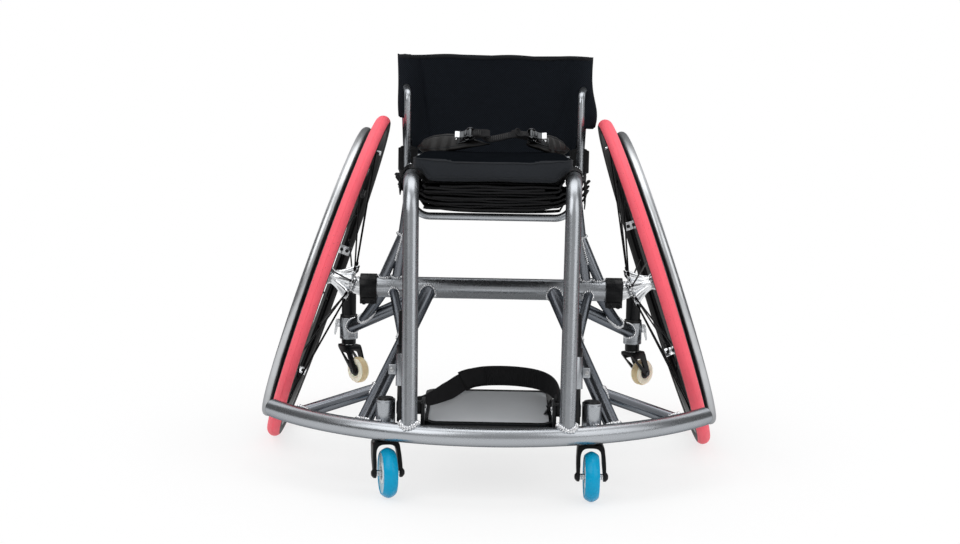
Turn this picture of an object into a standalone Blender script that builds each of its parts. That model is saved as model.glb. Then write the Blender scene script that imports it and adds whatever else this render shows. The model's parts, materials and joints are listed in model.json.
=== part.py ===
"""Court sports wheelchair: a welded tube frame on two strongly cambered drive wheels.

Metres, +Z up. The chair faces -Y, and left means the sitter's left, which is +X.
The wheels' axles lie at Y 0 while the chair is built. At the end the whole chair moves, so that
the origin is on the floor in the middle of its length. A helper has hide_render set.
"""

import math

import bmesh
import bpy
from mathutils import Matrix, Vector

# Faces round a tube, a small bar and a small turned piece, and the turn between rings of a bend
TUBE_SIDES = 12
BAR_SIDES = 10
TURNED_SIDES = 14
BEND_STEP = math.radians(15)
SMALL_BEND_STEP = math.radians(22.5)

# Clearances
GAP = 0.0003  # between two pieces that touch or that are welded to each other
RUN = 0.0005  # between a wheel and the washer or fork beside it

# Drive wheels
WHEEL_RADIUS = 0.305
TYRE_SECTION = 0.025
RIM_STAND = 0.0032  # how far the rim's edge stands in the tyre's section
RIM_OUTER_RADIUS = WHEEL_RADIUS - TYRE_SECTION + RIM_STAND
RIM_DEPTH = 0.024
RIM_WIDTH = 0.019
RIM_WALL = 0.011  # depth of the rim's upright sides, above its V
CAMBER = math.radians(18.6)
HUB_SPACING = 0.5844  # between the two tyre planes, at hub height
HANDRIM_INSET = 0.039  # from the tyre's tread to the middle of the handrim's tube
HANDRIM_RADIUS = WHEEL_RADIUS - HANDRIM_INSET
HANDRIM_TUBE = 0.019
HANDRIM_OFFSET = 0.0225  # outboard of the tyre plane
HANDRIM_CLIPS = 6
CLIP_TURN = {"left": math.radians(47.5), "right": math.radians(27)}
CLIP_WIDTH = 0.018
CLIP_THICKNESS = 0.003
WHEEL_STEPS = 36

# Hubs, spokes and quick-release axles
HUB_INBOARD = 0.046
HUB_OUTBOARD = 0.036
HUB_BARREL_RADIUS = 0.0125
FLANGE_INBOARD = 0.040
FLANGE_OUTBOARD = 0.029
FLANGE_THICKNESS = 0.005
FLANGE_RADIUS = 0.026
PRONG_RADIUS = 0.036
PRONG_SIZE = 0.008
SPOKES_PER_FLANGE = 9
SPOKE_DIAMETER = 0.003
SPOKE_LEAN = math.radians(4)
HUB_TURN = {"left": math.radians(15), "right": math.radians(6)}
AXLE_DIAMETER = 0.0127
AXLE_HEAD_DIAMETER = 0.022
AXLE_HEAD_LENGTH = 0.004
AXLE_REACH = 0.040  # length of the axle held in the camber plug
BUTTON_DIAMETER = 0.0095
BUTTON_LENGTH = 0.016
BUTTON_PROUD = 0.006
BUTTON_TRAVEL = 0.004

# Camber tube, plugs and clamps
CAMBER_TUBE = 0.0381
CAMBER_TUBE_SIDES = 20
PLUG_SLEEVE = 0.012
PLUG_SLEEVE_DIAMETER = 0.032
PLUG_DIAMETER = 0.0335
PLUG_LENGTH = 0.050
CLAMP_WIDTH = 0.030
CLAMP_WALL = 0.0045
CLAMP_DROP = 0.030  # from the tube's centre to the foot of the clamp
CLAMP_LUG = 0.013
CLAMP_SLIT = 0.002
CLAMP_BOLT = 0.008

# Bumper and front tubes
BUMPER_TUBE = 0.030
BUMPER_Z = 0.108
BUMPER_FRONT = -0.462
BUMPER_RADIUS = 0.4505
BUMPER_HALF_ANGLE = math.radians(52.5)
FRONT_TUBE = 0.0254
FRONT_FOOT_X = 0.1235
KNEE_X = 0.1285
KNEE_Y = -0.375
KNEE_RADIUS = 0.060
SEAT_FRONT_Z = 0.498
SEAT_REAR_Z = 0.475
SEAT_REAR_X = 0.150
SEAT_REAR_Y = 0.108
SEAT_CROSS_TUBE = 0.012
SEAT_CROSS_Y = -0.300
SEAT_CROSS_X = 0.131
SEAT_CROSS_Z = 0.4348
SEAT_CROSS_BEND = 0.030

# Lower frame
SIDE_TUBE = 0.0254
SIDE_TOP_X = 0.110
SIDE_FOOT_X = 0.2015
STRUT_TUBE = 0.016
STRUT_TOP_X = 0.178
STRUT_AT = 0.42  # share of the side tube's length where the strut lands
BRACE_TUBE = 0.022
BRACE_AT = 0.744  # share of the side tube's length where the brace starts
BRACE_INSET = 0.0414  # from the bumper's end to the foot of the brace
UPRIGHT_TUBE = 0.018
UPRIGHT_FOOT_X = 0.173
UPRIGHT_TOP_Y = 0.0
SEAT_BRACE_TUBE = 0.018
SEAT_BRACE_FOOT_X = 0.2025
SEAT_BRACE_AT = 0.46  # share of the upright's length where the brace lands

# Front casters
CASTER_X = 0.1635
CASTER_STEM_Y = -0.403
CASTER_HOUSING = 0.031
CASTER_HOUSING_TOP = 0.1535
CASTER_HOUSING_FOOT = 0.0925
CASTER_CAP = 0.003
CASTER_WHEEL = 0.080
CASTER_WIDTH = 0.023
CASTER_TRAIL = 0.027
CASTER_STEM = 0.012
CASTER_LEG_SPREAD = 0.0205  # from the wheel's middle to the middle of a leg
CASTER_LEG_THICKNESS = 0.0058
CASTER_LEG_DEPTH = 0.016
CASTER_LEG_FOOT = 0.0058  # below the axle
CASTER_CROWN_Z = 0.0875
CASTER_AXLE = 0.008
CASTER_AXLE_HEAD = 0.012
CASTER_AXLE_HEAD_LENGTH = 0.0028
CASTER_SPACER = 0.0098
CASTER_TURN = {"left": math.radians(1), "right": math.radians(13)}

# Rear anti-tip casters
TIP_X = 0.277
TIP_Y = 0.230
TIP_HOUSING = 0.035
TIP_HOUSING_TOP = 0.1745
TIP_HOUSING_FOOT = 0.1325
TIP_STEM = 0.028
TIP_STEM_TOP = 0.242
TIP_STEM_FOOT = 0.1225
TIP_PIN = 0.010
TIP_PIN_LENGTH = 0.040
TIP_WHEEL = 0.050
TIP_WHEEL_WIDTH = 0.020
TIP_TRAIL = 0.032
TIP_DROP = 0.046  # from the fork's top to its axle
TIP_FORK_DEPTH = 0.036
TIP_FORK_WALL = 0.004
TIP_FORK_TOP = 0.006
TIP_AXLE = 0.008
TIP_SHIM = 0.0012
TIP_SHIM_DIAMETER = 0.024
TIP_EYE = 0.015  # across the end of a fork's leg, round the axle
TIP_WINDOW = ((-0.006, -0.0105), (0.013, -0.0105), (0.0215, -0.031))  # corners, in a leg's own plane
TIP_LUG = (0.010, 0.016, 0.014)  # on the housing, beside the lever
TIP_TURN = {"left": math.radians(45), "right": math.radians(-49)}
TIP_LOWER = {"left": 0.004, "right": 0.0}  # how far each stem is let down
TIP_ARM = 0.0254
TIP_ARM_X = 0.122
TIP_ARM_DROP = 0.013
TIP_STRUT = 0.019
TIP_STRUT_X = 0.189
TIP_STRUT_AT = 0.19  # share of the arm's length, from the housing, where the strut lands
LEVER_LENGTH = 0.024
LEVER_WIDTH = 0.010
LEVER_THICKNESS = 0.004
LEVER_REACH = 0.0065  # from the housing to the lever's pivot
LEVER_RISE = 0.030  # from the housing's foot to the pivot

# Footrest
HANGER_X = 0.134
HANGER_TUBE = 0.022
HANGER_FOOT_Z = 0.120
HANGER_TOP_Z = 0.294
SLEEVE_WALL = 0.0025
SLEEVE_FOOT_Z = 0.176
SLEEVE_TOP_Z = 0.226
SLEEVE_LUG = (0.014, 0.010, 0.016)
SLEEVE_LUG_Y = 0.006  # behind the sleeve's axis
SLEEVE_SCREW = 0.007
SLEEVE_SCREW_LENGTH = 0.028
COLLAR_Z = 0.2265
COLLAR_HEIGHT = 0.014
COLLAR_WALL = 0.0022
BRACKET_Z = 0.132
BRACKET_HEIGHT = 0.020
CHEEK = (0.006, 0.050, 0.042)  # the plate that joins a bracket to the tray
PLATE_FRONT_Y = -0.405
PLATE_REAR_Y = -0.195
PLATE_HALF_WIDTH = 0.107
PLATE_CORNER = 0.020
PLATE_THICKNESS = 0.010
PLATE_RIM = 0.010  # of the tray, beside the sheet
PLATE_END_RIM = 0.006  # before and behind it
PLATE_RECESS = 0.003
PLATE_FRONT_Z = 0.108  # underside
PLATE_TILT = math.radians(2.6)
PLATE_SHEET = 0.0012
FOOT_STRAP_WIDTH = 0.030
FOOT_STRAP_THICKNESS = 0.0022
FOOT_STRAP_X = 0.114  # where it leaves the brackets
FOOT_STRAP_Z = 0.1436
FOOT_STRAP_GAP = 0.0006  # its tilted end to the bracket
# Its route: shares of FOOT_STRAP_X, of the way to the plate's rear edge and of the strap's width upwards
FOOT_STRAP_ROUTE = (
    (-1.0, 0.13, -0.03), (-0.90, 0.25, -0.14), (-0.745, 0.44, -0.17), (-0.57, 0.70, -0.17),
    (-0.377, 0.91, 0.01), (-0.13, 0.985, 0.16), (0.175, 1.0, 0.21), (0.48, 0.985, 0.18),
    (0.72, 0.93, 0.11), (0.877, 0.775, 0.08), (0.965, 0.48, 0.11), (1.0, 0.13, 0.03),
)

# Seat
CUSHION_HALF_WIDTH = 0.134
CUSHION_FRONT_Y = -0.333
CUSHION_REAR_Y = 0.045
CUSHION_THICKNESS = 0.036
CUSHION_SAG = 0.006
CUSHION_SEAT_Z = 0.4965  # underside in the middle of the front edge
CUSHION_CROWN = 0.005
CUSHION_DRAW = 0.005
CUSHION_EDGE = 0.006  # height of its rounded edges
SLING_DROP = 0.049
SLING_EDGE = 0.014
SLING_GAP = 0.0009  # under the cushion, whose faces cross those of the sling

# Backrest
CANE_FOOT_X = 0.1555
CANE_TOP_X = 0.1645
CANE_Y = 0.085
CANE_TUBE = 0.019
CANE_TOP = 0.676
BACK_BAR = 0.014
BACK_BAR_Z = 0.501
STAY_X = 0.1547
STAY_Y = 0.005
STAY_TUBE = 0.012
STAY_BEND_DROP = 0.055  # from the cane's top to the bend
STAY_BEND_Z = CANE_TOP - STAY_BEND_DROP
STAY_RISE = 0.009
STAY_BEND = 0.018
BACK_PROUD = 0.012
BACK_TOP = CANE_TOP + BACK_PROUD
BACK_FOOT = 0.5125
BACK_SHEET = 0.006
BACK_SAG = 0.036
POCKET_WALL = 0.0022
POCKET_FOOT = 0.562
POCKET_BULGE = 0.010
POCKET_BULGE_Z = 0.584
BAND_WALL = 0.0085
BAND_FOOT = 0.4725
BAND_TOP = 0.5205

# Hip belt
BUCKLE_X = {"left": 0.080, "right": 0.056}
BUCKLE_Y = -0.100
BUCKLE_Z = 0.552
BUCKLE_LENGTH = 0.042
BUCKLE_WIDTH = 0.023
BUCKLE_BASE = 0.004
BUCKLE_CHEEK = 0.003
BUCKLE_HEIGHT = 0.012
BUCKLE_RISER = 0.018  # of webbing, from the buckle down into the pad
BUCKLE_TILT = math.radians(40)
BUCKLE_LEVER = 0.026
BUCKLE_LEVER_THICKNESS = 0.004
BELT_WIDTH = 0.042
BELT_THICKNESS = 0.012
BELT_LIFT = 0.0143  # from the cushion's top to the middle of the leaning pad
STRAP_THICKNESS = 0.0025

SIDES = (("left", 1), ("right", -1))

# Sizes worked out from the ones above
TYRE_CENTRE_RADIUS = WHEEL_RADIUS - TYRE_SECTION / 2
HUB_X = HUB_SPACING / 2
HUB_Z = TYRE_CENTRE_RADIUS * math.cos(CAMBER) + TYRE_SECTION / 2
TUBE_END = HUB_INBOARD + RUN + PLUG_SLEEVE  # along the axle, from the tyre plane
TUBE_END_X = HUB_X - TUBE_END * math.cos(CAMBER)
CAMBER_TUBE_Z = HUB_Z - TUBE_END * math.sin(CAMBER)
BUMPER_CENTRE_Y = BUMPER_FRONT + BUMPER_RADIUS
MIDDLE_Y = (BUMPER_FRONT - BUMPER_TUBE / 2 + WHEEL_RADIUS) / 2


def clear_scene():
    for thing in list(bpy.data.objects):
        bpy.data.objects.remove(thing)


def make_material(name, colour, metallic, roughness):
    made = bpy.data.materials.new(name)
    made.use_nodes = True
    shader = made.node_tree.nodes["Principled BSDF"]
    shader.inputs["Base Color"].default_value = (*colour, 1)
    shader.inputs["Metallic"].default_value = metallic
    shader.inputs["Roughness"].default_value = roughness
    made.diffuse_color = (*colour, 1)
    made.metallic = metallic
    made.roughness = roughness
    return made


def finish_mesh(name, mesh_edit, sharp=35):
    """Closes a bmesh into a mesh with outward faces, smooth on its round parts."""
    bmesh.ops.recalc_face_normals(mesh_edit, faces=mesh_edit.faces)
    mesh = bpy.data.meshes.new(name)
    mesh_edit.to_mesh(mesh)
    mesh_edit.free()
    mesh.shade_smooth()
    mesh.set_sharp_from_angle(angle=math.radians(sharp))
    return mesh


def add_object(name, mesh_edit, material, place=None, sharp=35):
    made = bpy.data.objects.new(name, finish_mesh(name, mesh_edit, sharp))
    made.data.materials.append(material)
    if place is not None:
        made.matrix_world = place
    bpy.context.scene.collection.objects.link(made)
    return made


def add_helper(name, mesh_edit, place=None):
    """A shape that a Boolean reads, left out of the model."""
    made = bpy.data.objects.new(name, finish_mesh(name, mesh_edit))
    if place is not None:
        made.matrix_world = place
    made.hide_render = True
    made.display_type = "WIRE"
    bpy.context.scene.collection.objects.link(made)
    return made


def combine(piece, helper, operation):
    step = piece.modifiers.new(operation.title(), "BOOLEAN")
    step.operation = operation
    step.object = helper
    step.solver = "EXACT"


def cut(piece, *helpers):
    for helper in helpers:
        combine(piece, helper, "DIFFERENCE")


def join(piece, *helpers):
    for helper in helpers:
        combine(piece, helper, "UNION")


def frame_along(direction, up=Vector((0, 0, 1))):
    """A rotation whose Z axis runs along direction and whose Y axis leans towards up."""
    z_axis = Vector(direction).normalized()
    x_axis = Vector(up).cross(z_axis)
    if x_axis.length < 1e-4:
        x_axis = Vector((1, 0, 0))
    x_axis.normalize()
    return Matrix((x_axis, z_axis.cross(x_axis), z_axis)).transposed().to_4x4()


def place_at(point, rotation=None):
    return Matrix.Translation(Vector(point)) @ (rotation or Matrix.Identity(4))


def skin(rings, closed_loop=False):
    """Joins rings of points, all of one length, into a closed surface with capped ends."""
    edit = bmesh.new()
    rows = [[edit.verts.new(point) for point in ring] for ring in rings]
    count = len(rows[0])
    last = len(rows) if closed_loop else len(rows) - 1
    for i in range(last):
        row, following = rows[i], rows[(i + 1) % len(rows)]
        for j in range(count):
            k = (j + 1) % count
            edit.faces.new((row[j], row[k], following[k], following[j]))
    if not closed_loop:
        edit.faces.new(rows[0])
        edit.faces.new(rows[-1][::-1])
    return edit


def circle(radius, sides, phase=0.0):
    return [
        (radius * math.cos(phase + turn), radius * math.sin(phase + turn))
        for turn in (2 * math.pi * i / sides for i in range(sides))
    ]


def rounded_path(corners, radius, step=BEND_STEP):
    """The corner points, each inner corner replaced by an arc of this radius."""
    points = [Vector(corners[0])]
    for i in range(1, len(corners) - 1):
        before, corner, after = (Vector(corners[i + n]) for n in (-1, 0, 1))
        towards, away = (before - corner).normalized(), (after - corner).normalized()
        bend = math.pi - towards.angle(away)
        reach = radius * math.tan(bend / 2)
        centre = corner + (towards + away).normalized() * radius / math.cos(bend / 2)
        start = corner + towards * reach - centre
        normal = start.cross(corner + away * reach - centre).normalized()
        steps = max(2, math.ceil(bend / step))
        for n in range(steps + 1):
            points.append(centre + Matrix.Rotation(bend * n / steps, 3, normal) @ start)
    points.append(Vector(corners[-1]))
    return points


def tube(points, diameter, sides=TUBE_SIDES):
    """A round bar or tube along the points, carried round bends without twisting."""
    points = [Vector(p) for p in points]
    rings = []
    across = None
    for i, point in enumerate(points):
        before = points[max(i - 1, 0)]
        after = points[min(i + 1, len(points) - 1)]
        along = (after - before).normalized()
        if across is None:
            across = along.orthogonal().normalized()
        across = (across - along * across.dot(along)).normalized()
        other = along.cross(across)
        stretch = 1.0
        if 0 < i < len(points) - 1:
            half_bend = (point - before).angle(after - point) / 2
            stretch = 1 / math.cos(half_bend)
        inward = (after - point).normalized() - (point - before).normalized()
        ring = []
        for u, v in circle(diameter / 2, sides):
            offset = across * u + other * v
            if stretch > 1.0001:
                offset += inward.normalized() * offset.dot(inward.normalized()) * (stretch - 1)
            ring.append(point + offset)
        rings.append(ring)
    return skin(rings)


def turned(profile, steps):
    """A solid turned about Z. A profile that starts and ends on the axis is closed there."""
    edit = bmesh.new()
    on_axis = profile[0][0] == 0
    rows = []
    for radius, height in profile:
        if radius == 0:
            rows.append([edit.verts.new((0, 0, height))])
            continue
        rows.append([edit.verts.new((x, y, height)) for x, y in circle(radius, steps)])
    pairs = list(zip(rows, rows[1:])) + ([] if on_axis else [(rows[-1], rows[0])])
    for row, following in pairs:
        for j in range(steps):
            k = (j + 1) % steps
            corners = ((row, j), (row, k), (following, k), (following, j))
            edit.faces.new(list(dict.fromkeys(ring[n % len(ring)] for ring, n in corners)))
    return edit


def mirrored(half_profile, middle=()):
    """A profile whose lower half mirrors its upper half, which is listed from the top down."""
    return [(radius, -height) for radius, height in half_profile] + list(middle) + half_profile[::-1]


def bar(radius, low, high, steps=TURNED_SIDES):
    return turned([(0, low), (radius, low), (radius, high), (0, high)], steps)


def washer(inner, outer, low, high, steps=TURNED_SIDES):
    return turned([(inner, low), (outer, low), (outer, high), (inner, high)], steps)


def prism(outline, low, high):
    """An outline in X and Y, raised from low to high along Z."""
    return skin([[Vector((x, y, height)) for x, y in outline] for height in (low, high)])


def block(size, bevel=0.0, centre=(0, 0, 0), segments=2):
    edit = bmesh.new()
    bmesh.ops.create_cube(edit, size=1)
    bmesh.ops.scale(edit, vec=size, verts=edit.verts)
    if bevel:
        bmesh.ops.bevel(
            edit, geom=edit.edges[:], offset=bevel, segments=segments, affect="EDGES", profile=0.5)
    bmesh.ops.translate(edit, vec=centre, verts=edit.verts)
    return edit


def merged(*parts):
    """One bmesh that holds several separate shapes."""
    whole = bmesh.new()
    for part in parts:
        mesh = bpy.data.meshes.new("part")
        part.to_mesh(mesh)
        part.free()
        whole.from_mesh(mesh)
        bpy.data.meshes.remove(mesh)
    return whole


def moved(edit, matrix):
    bmesh.ops.transform(edit, matrix=matrix, verts=edit.verts)
    return edit


def straight_tube(start, end, diameter, sides=TUBE_SIDES):
    return tube([start, end], diameter, sides)


def bumper_point(angle):
    return Vector((
        BUMPER_RADIUS * math.sin(angle),
        BUMPER_CENTRE_Y - BUMPER_RADIUS * math.cos(angle),
        BUMPER_Z,
    ))


def on_bumper(x):
    return bumper_point(math.asin(x / BUMPER_RADIUS))


def wheel_place(side):
    """Local Z runs outboard along the axle; the origin is the middle of the tyre."""
    turn = Matrix.Rotation(side * (math.pi / 2 - CAMBER), 4, "Y")
    return place_at((side * HUB_X, 0, HUB_Z), turn)


def front_tube_corners(side):
    foot = on_bumper(FRONT_FOOT_X)
    return [
        Vector((side * SEAT_REAR_X, SEAT_REAR_Y, SEAT_REAR_Z)),
        Vector((side * KNEE_X, KNEE_Y, SEAT_FRONT_Z)),
        Vector((side * foot.x, foot.y, foot.z)),
    ]


def on_seat_rail(side, y):
    rear, knee, _ = front_tube_corners(side)
    return rear.lerp(knee, (y - rear.y) / (knee.y - rear.y))


def side_tube_ends(side):
    foot = on_bumper(SIDE_FOOT_X)
    return (
        Vector((side * SIDE_TOP_X, 0, CAMBER_TUBE_Z)),
        Vector((side * foot.x, foot.y, foot.z)),
    )


def along_side_tube(side, share):
    top, foot = side_tube_ends(side)
    return top.lerp(foot, share)


def hanger_line():
    """The direction in which the footrest slides, and the place of a hanger at height 0."""
    _, knee, foot = front_tube_corners(1)
    slope = (knee.y - foot.y) / (knee.z - foot.z)
    upwards = Vector((0, slope, 1)).normalized()
    sleeve = HANGER_TUBE / 2 + GAP + SLEEVE_WALL
    tube_x = foot.x + (knee.x - foot.x) * (SLEEVE_FOOT_Z - foot.z) / (knee.z - foot.z)
    reach = sleeve + FRONT_TUBE / 2 + GAP
    back = math.sqrt(reach ** 2 - min(HANGER_X - tube_x, reach) ** 2) / upwards.z
    base_y = foot.y - slope * foot.z + back
    return upwards, base_y, slope


def hanger_point(side, z):
    _, base_y, slope = hanger_line()
    return Vector((side * HANGER_X, base_y + slope * z, z))


def make_materials():
    listed = {
        "frame": ((0.20, 0.21, 0.22), 0.9, 0.30),
        "black_metal": ((0.012, 0.012, 0.014), 0.3, 0.40),
        "silver": ((0.75, 0.76, 0.77), 1.0, 0.22),
        "handrim": ((0.42, 0.43, 0.44), 1.0, 0.28),
        "tread": ((0.87, 0.12, 0.15), 0.0, 0.55),
        "spoke": ((0.010, 0.010, 0.012), 0.1, 0.35),
        "caster": ((0.004, 0.33, 0.60), 0.0, 0.35),
        "cream": ((0.80, 0.70, 0.43), 0.0, 0.40),
        "mesh": ((0.006, 0.007, 0.010), 0.0, 0.85),
        "cushion": ((0.018, 0.022, 0.028), 0.0, 0.80),
        "webbing": ((0.010, 0.010, 0.012), 0.0, 0.75),
        "plate": ((0.20, 0.21, 0.22), 0.6, 0.45),
    }
    return {name: make_material(name, *values) for name, values in listed.items()}


def make_bumper(materials):
    """The bumper, and the cutter for the tubes that are welded to it."""
    steps = 20
    arc = [bumper_point(BUMPER_HALF_ANGLE * (2 * i / steps - 1)) for i in range(steps + 1)]
    add_object("bumper_tube", tube(arc, BUMPER_TUBE), materials["frame"])
    return add_helper("cut_bumper", tube(arc, BUMPER_TUBE + 2 * GAP))


def make_camber_tube(materials):
    """The tube between the wheels, and the cutter for what is welded to it."""
    ends = [Vector((n * TUBE_END_X, 0, CAMBER_TUBE_Z)) for n in (-1, 1)]
    whole = straight_tube(*ends, CAMBER_TUBE, CAMBER_TUBE_SIDES)
    piece = add_object("camber_tube", whole, materials["frame"])
    for name, side in SIDES:
        socket = [Vector((side * (TUBE_END_X + n), 0, CAMBER_TUBE_Z)) for n in (-PLUG_LENGTH - GAP, 0.01)]
        bore = straight_tube(*socket, PLUG_DIAMETER + 2 * GAP, CAMBER_TUBE_SIDES)
        cut(piece, add_helper(f"cut_socket_{name}", bore))
    return add_helper("cut_camber_tube", straight_tube(*ends, CAMBER_TUBE + 2 * GAP, CAMBER_TUBE_SIDES))


def make_camber_plug(name, side, materials):
    """A plug in the tube's end whose bore stands at the camber angle."""
    inner = [Vector((side * (TUBE_END_X + n), 0, CAMBER_TUBE_Z)) for n in (-PLUG_LENGTH, 0)]
    place = wheel_place(side)
    sleeve_foot = -(TUBE_END + PLUG_SLEEVE_DIAMETER / 2 * math.sin(CAMBER))
    plug = straight_tube(*inner, PLUG_DIAMETER, CAMBER_TUBE_SIDES)
    piece = add_object(f"camber_plug_{name}", plug, materials["silver"])
    sleeve = bar(PLUG_SLEEVE_DIAMETER / 2, sleeve_foot, -(HUB_INBOARD + RUN), CAMBER_TUBE_SIDES)
    join(piece, add_helper(f"plug_sleeve_{name}", sleeve, place))
    bore = bar(AXLE_DIAMETER / 2 + GAP, -(HUB_INBOARD + AXLE_REACH + RUN), 0)
    cut(piece, add_helper(f"cut_plug_bore_{name}", bore, place))


def make_camber_clamp(name, side, materials):
    """A split clamp round the tube's end, closed by two screws under the tube."""
    steps = 16
    inner = CAMBER_TUBE / 2 / math.cos(math.pi / steps) + GAP
    outer = CAMBER_TUBE / 2 + CLAMP_WALL
    slit = CLAMP_SLIT / 2
    slit_angle = math.asin(slit / inner)
    lug_angle = math.asin(CLAMP_LUG / outer)
    outline = []
    for i in range(steps + 1):
        turn = -math.pi / 2 + slit_angle + (2 * math.pi - 2 * slit_angle) * i / steps
        outline.append((inner * math.cos(turn), inner * math.sin(turn)))
    outline += [(-slit, -CLAMP_DROP), (-CLAMP_LUG, -CLAMP_DROP)]
    for i in range(steps + 1):
        turn = 3 * math.pi / 2 - lug_angle - (2 * math.pi - 2 * lug_angle) * i / steps
        outline.append((outer * math.cos(turn), outer * math.sin(turn)))
    outline += [(CLAMP_LUG, -CLAMP_DROP), (slit, -CLAMP_DROP)]
    # The outline's X is the chair's Y, its Y is the chair's Z and its Z is the chair's X.
    turn = Matrix(((0, 0, 1, 0), (1, 0, 0, 0), (0, 1, 0, 0), (0, 0, 0, 1)))
    middle = side * (TUBE_END_X - CLAMP_WIDTH / 2)
    place = place_at((middle, 0, CAMBER_TUBE_Z), turn)
    ring = prism(outline, -CLAMP_WIDTH / 2, CLAMP_WIDTH / 2)
    piece = add_object(f"camber_clamp_{name}", ring, materials["black_metal"], place)
    head, shank = CLAMP_BOLT / 2, CLAMP_BOLT / 4
    screws = []
    for shift in (-1, 1):
        screw = turned([
            (0, 0.002 - CLAMP_LUG), (shank, 0.002 - CLAMP_LUG), (shank, CLAMP_LUG - 0.001),
            (head, CLAMP_LUG - 0.001), (head, CLAMP_LUG + 0.002), (0, CLAMP_LUG + 0.002),
        ], 8)
        lies = Matrix.Translation((shift * CLAMP_WIDTH / 4, 0, (outer + CLAMP_DROP) / -2))
        screws.append(moved(screw, lies @ Matrix.Rotation(math.pi / 2, 4, "X")))
    heads = add_helper(f"clamp_screws_{name}", merged(*screws), place_at((middle, 0, CAMBER_TUBE_Z)))
    join(piece, heads)


def make_front_tube(name, side, materials, bumper):
    """The seat rail that bends down into the front tube, and its cutter."""
    path = rounded_path(front_tube_corners(side), KNEE_RADIUS)
    piece = add_object(f"front_tube_{name}", tube(path, FRONT_TUBE), materials["frame"])
    cut(piece, bumper)
    return add_helper(f"cut_front_tube_{name}", tube(path, FRONT_TUBE + 2 * GAP))


def make_lower_tubes(name, side, materials, bumper, camber_tube):
    top, foot = side_tube_ends(side)
    side_tube = add_object(f"side_tube_{name}", straight_tube(top, foot, SIDE_TUBE), materials["frame"])
    cut(side_tube, camber_tube, bumper)
    side_cutter = add_helper(f"cut_side_tube_{name}", straight_tube(top, foot, SIDE_TUBE + 2 * GAP))

    strut_top = Vector((side * STRUT_TOP_X, 0, CAMBER_TUBE_Z))
    strut_bar = straight_tube(strut_top, along_side_tube(side, STRUT_AT), STRUT_TUBE)
    strut = add_object(f"outer_strut_{name}", strut_bar, materials["frame"])
    cut(strut, camber_tube, side_cutter)

    brace_foot = on_bumper(bumper_point(BUMPER_HALF_ANGLE).x - BRACE_INSET)
    brace_foot.x *= side
    brace_bar = straight_tube(along_side_tube(side, BRACE_AT), brace_foot, BRACE_TUBE)
    brace = add_object(f"bumper_brace_{name}", brace_bar, materials["frame"])
    cut(brace, side_cutter, bumper)
    return side_cutter


def make_uprights(name, side, materials, camber_tube, front_tube):
    """The upright that carries the seat rail on the camber tube, and its brace further out."""
    foot = Vector((side * UPRIGHT_FOOT_X, 0, CAMBER_TUBE_Z))
    top = on_seat_rail(side, UPRIGHT_TOP_Y)
    upright = add_object(f"seat_upright_{name}", straight_tube(foot, top, UPRIGHT_TUBE), materials["frame"])
    cut(upright, camber_tube, front_tube)
    brace_foot = Vector((side * SEAT_BRACE_FOOT_X, 0, CAMBER_TUBE_Z))
    brace_tube = straight_tube(brace_foot, foot.lerp(top, SEAT_BRACE_AT), SEAT_BRACE_TUBE)
    brace = add_object(f"seat_brace_{name}", brace_tube, materials["frame"])
    crossing = straight_tube(foot, top, UPRIGHT_TUBE + 2 * GAP)
    cut(brace, camber_tube, add_helper(f"cut_upright_{name}", crossing))


def make_seat_cross(materials, front_tubes):
    corners = [
        Vector((SEAT_CROSS_X, SEAT_CROSS_Y, on_seat_rail(1, SEAT_CROSS_Y).z)),
        Vector((SEAT_CROSS_X, SEAT_CROSS_Y, SEAT_CROSS_Z)),
        Vector((-SEAT_CROSS_X, SEAT_CROSS_Y, SEAT_CROSS_Z)),
        Vector((-SEAT_CROSS_X, SEAT_CROSS_Y, on_seat_rail(1, SEAT_CROSS_Y).z)),
    ]
    hoop = tube(rounded_path(corners, SEAT_CROSS_BEND, SMALL_BEND_STEP), SEAT_CROSS_TUBE, BAR_SIDES)
    piece = add_object("seat_cross_tube", hoop, materials["frame"])
    cut(piece, *front_tubes)


def make_caster_housing(name, side, materials, bumper, side_cutter):
    height = CASTER_HOUSING_TOP + CASTER_CAP
    radius = CASTER_HOUSING / 2
    profile = [
        (0, CASTER_HOUSING_FOOT), (radius, CASTER_HOUSING_FOOT), (radius, CASTER_HOUSING_TOP),
        (radius - CASTER_CAP, height), (0, height),
    ]
    place = place_at((side * CASTER_X, CASTER_STEM_Y, 0))
    piece = add_object(f"caster_housing_{name}", turned(profile, TURNED_SIDES), materials["frame"], place)
    bore = bar(CASTER_STEM / 2 + GAP, CASTER_HOUSING_FOOT - 0.01, CASTER_HOUSING_TOP - 0.008)
    cut(piece, bumper, side_cutter, add_helper(f"cut_caster_bore_{name}", bore, place))


def caster_fork_mesh():
    """A flat bar bent to a U, whose legs reach forward from the stem to the axle."""
    axle_z = CASTER_WHEEL / 2
    foot_z = axle_z - CASTER_LEG_FOOT
    arch = 4
    edges = []
    for shift in (1, -1):
        reach = CASTER_LEG_SPREAD + shift * CASTER_LEG_THICKNESS / 2
        top = CASTER_CROWN_Z - (0 if shift > 0 else CASTER_LEG_THICKNESS)
        shoulder = reach * 0.62
        corner = [
            (reach - shoulder * (1 - math.cos(turn)), top - shoulder * (1 - math.sin(turn)))
            for turn in (math.pi / 2 * i / arch for i in range(arch + 1))
        ]
        half_edge = [(reach, foot_z)] + corner
        edges.append(half_edge + [(-x, z) for x, z in reversed(half_edge)])

    def lean(z):
        start = CASTER_CROWN_Z - CASTER_LEG_THICKNESS
        return -CASTER_TRAIL * min(max((start - z) / (start - axle_z), 0), 1)

    depth = CASTER_LEG_DEPTH / 2
    rings = []
    for outer, inner in zip(*edges):
        corners = ((outer, -depth), (outer, depth), (inner, depth), (inner, -depth))
        rings.append([Vector((x, y + lean(z), z)) for (x, z), y in corners])
    return skin(rings)


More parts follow.
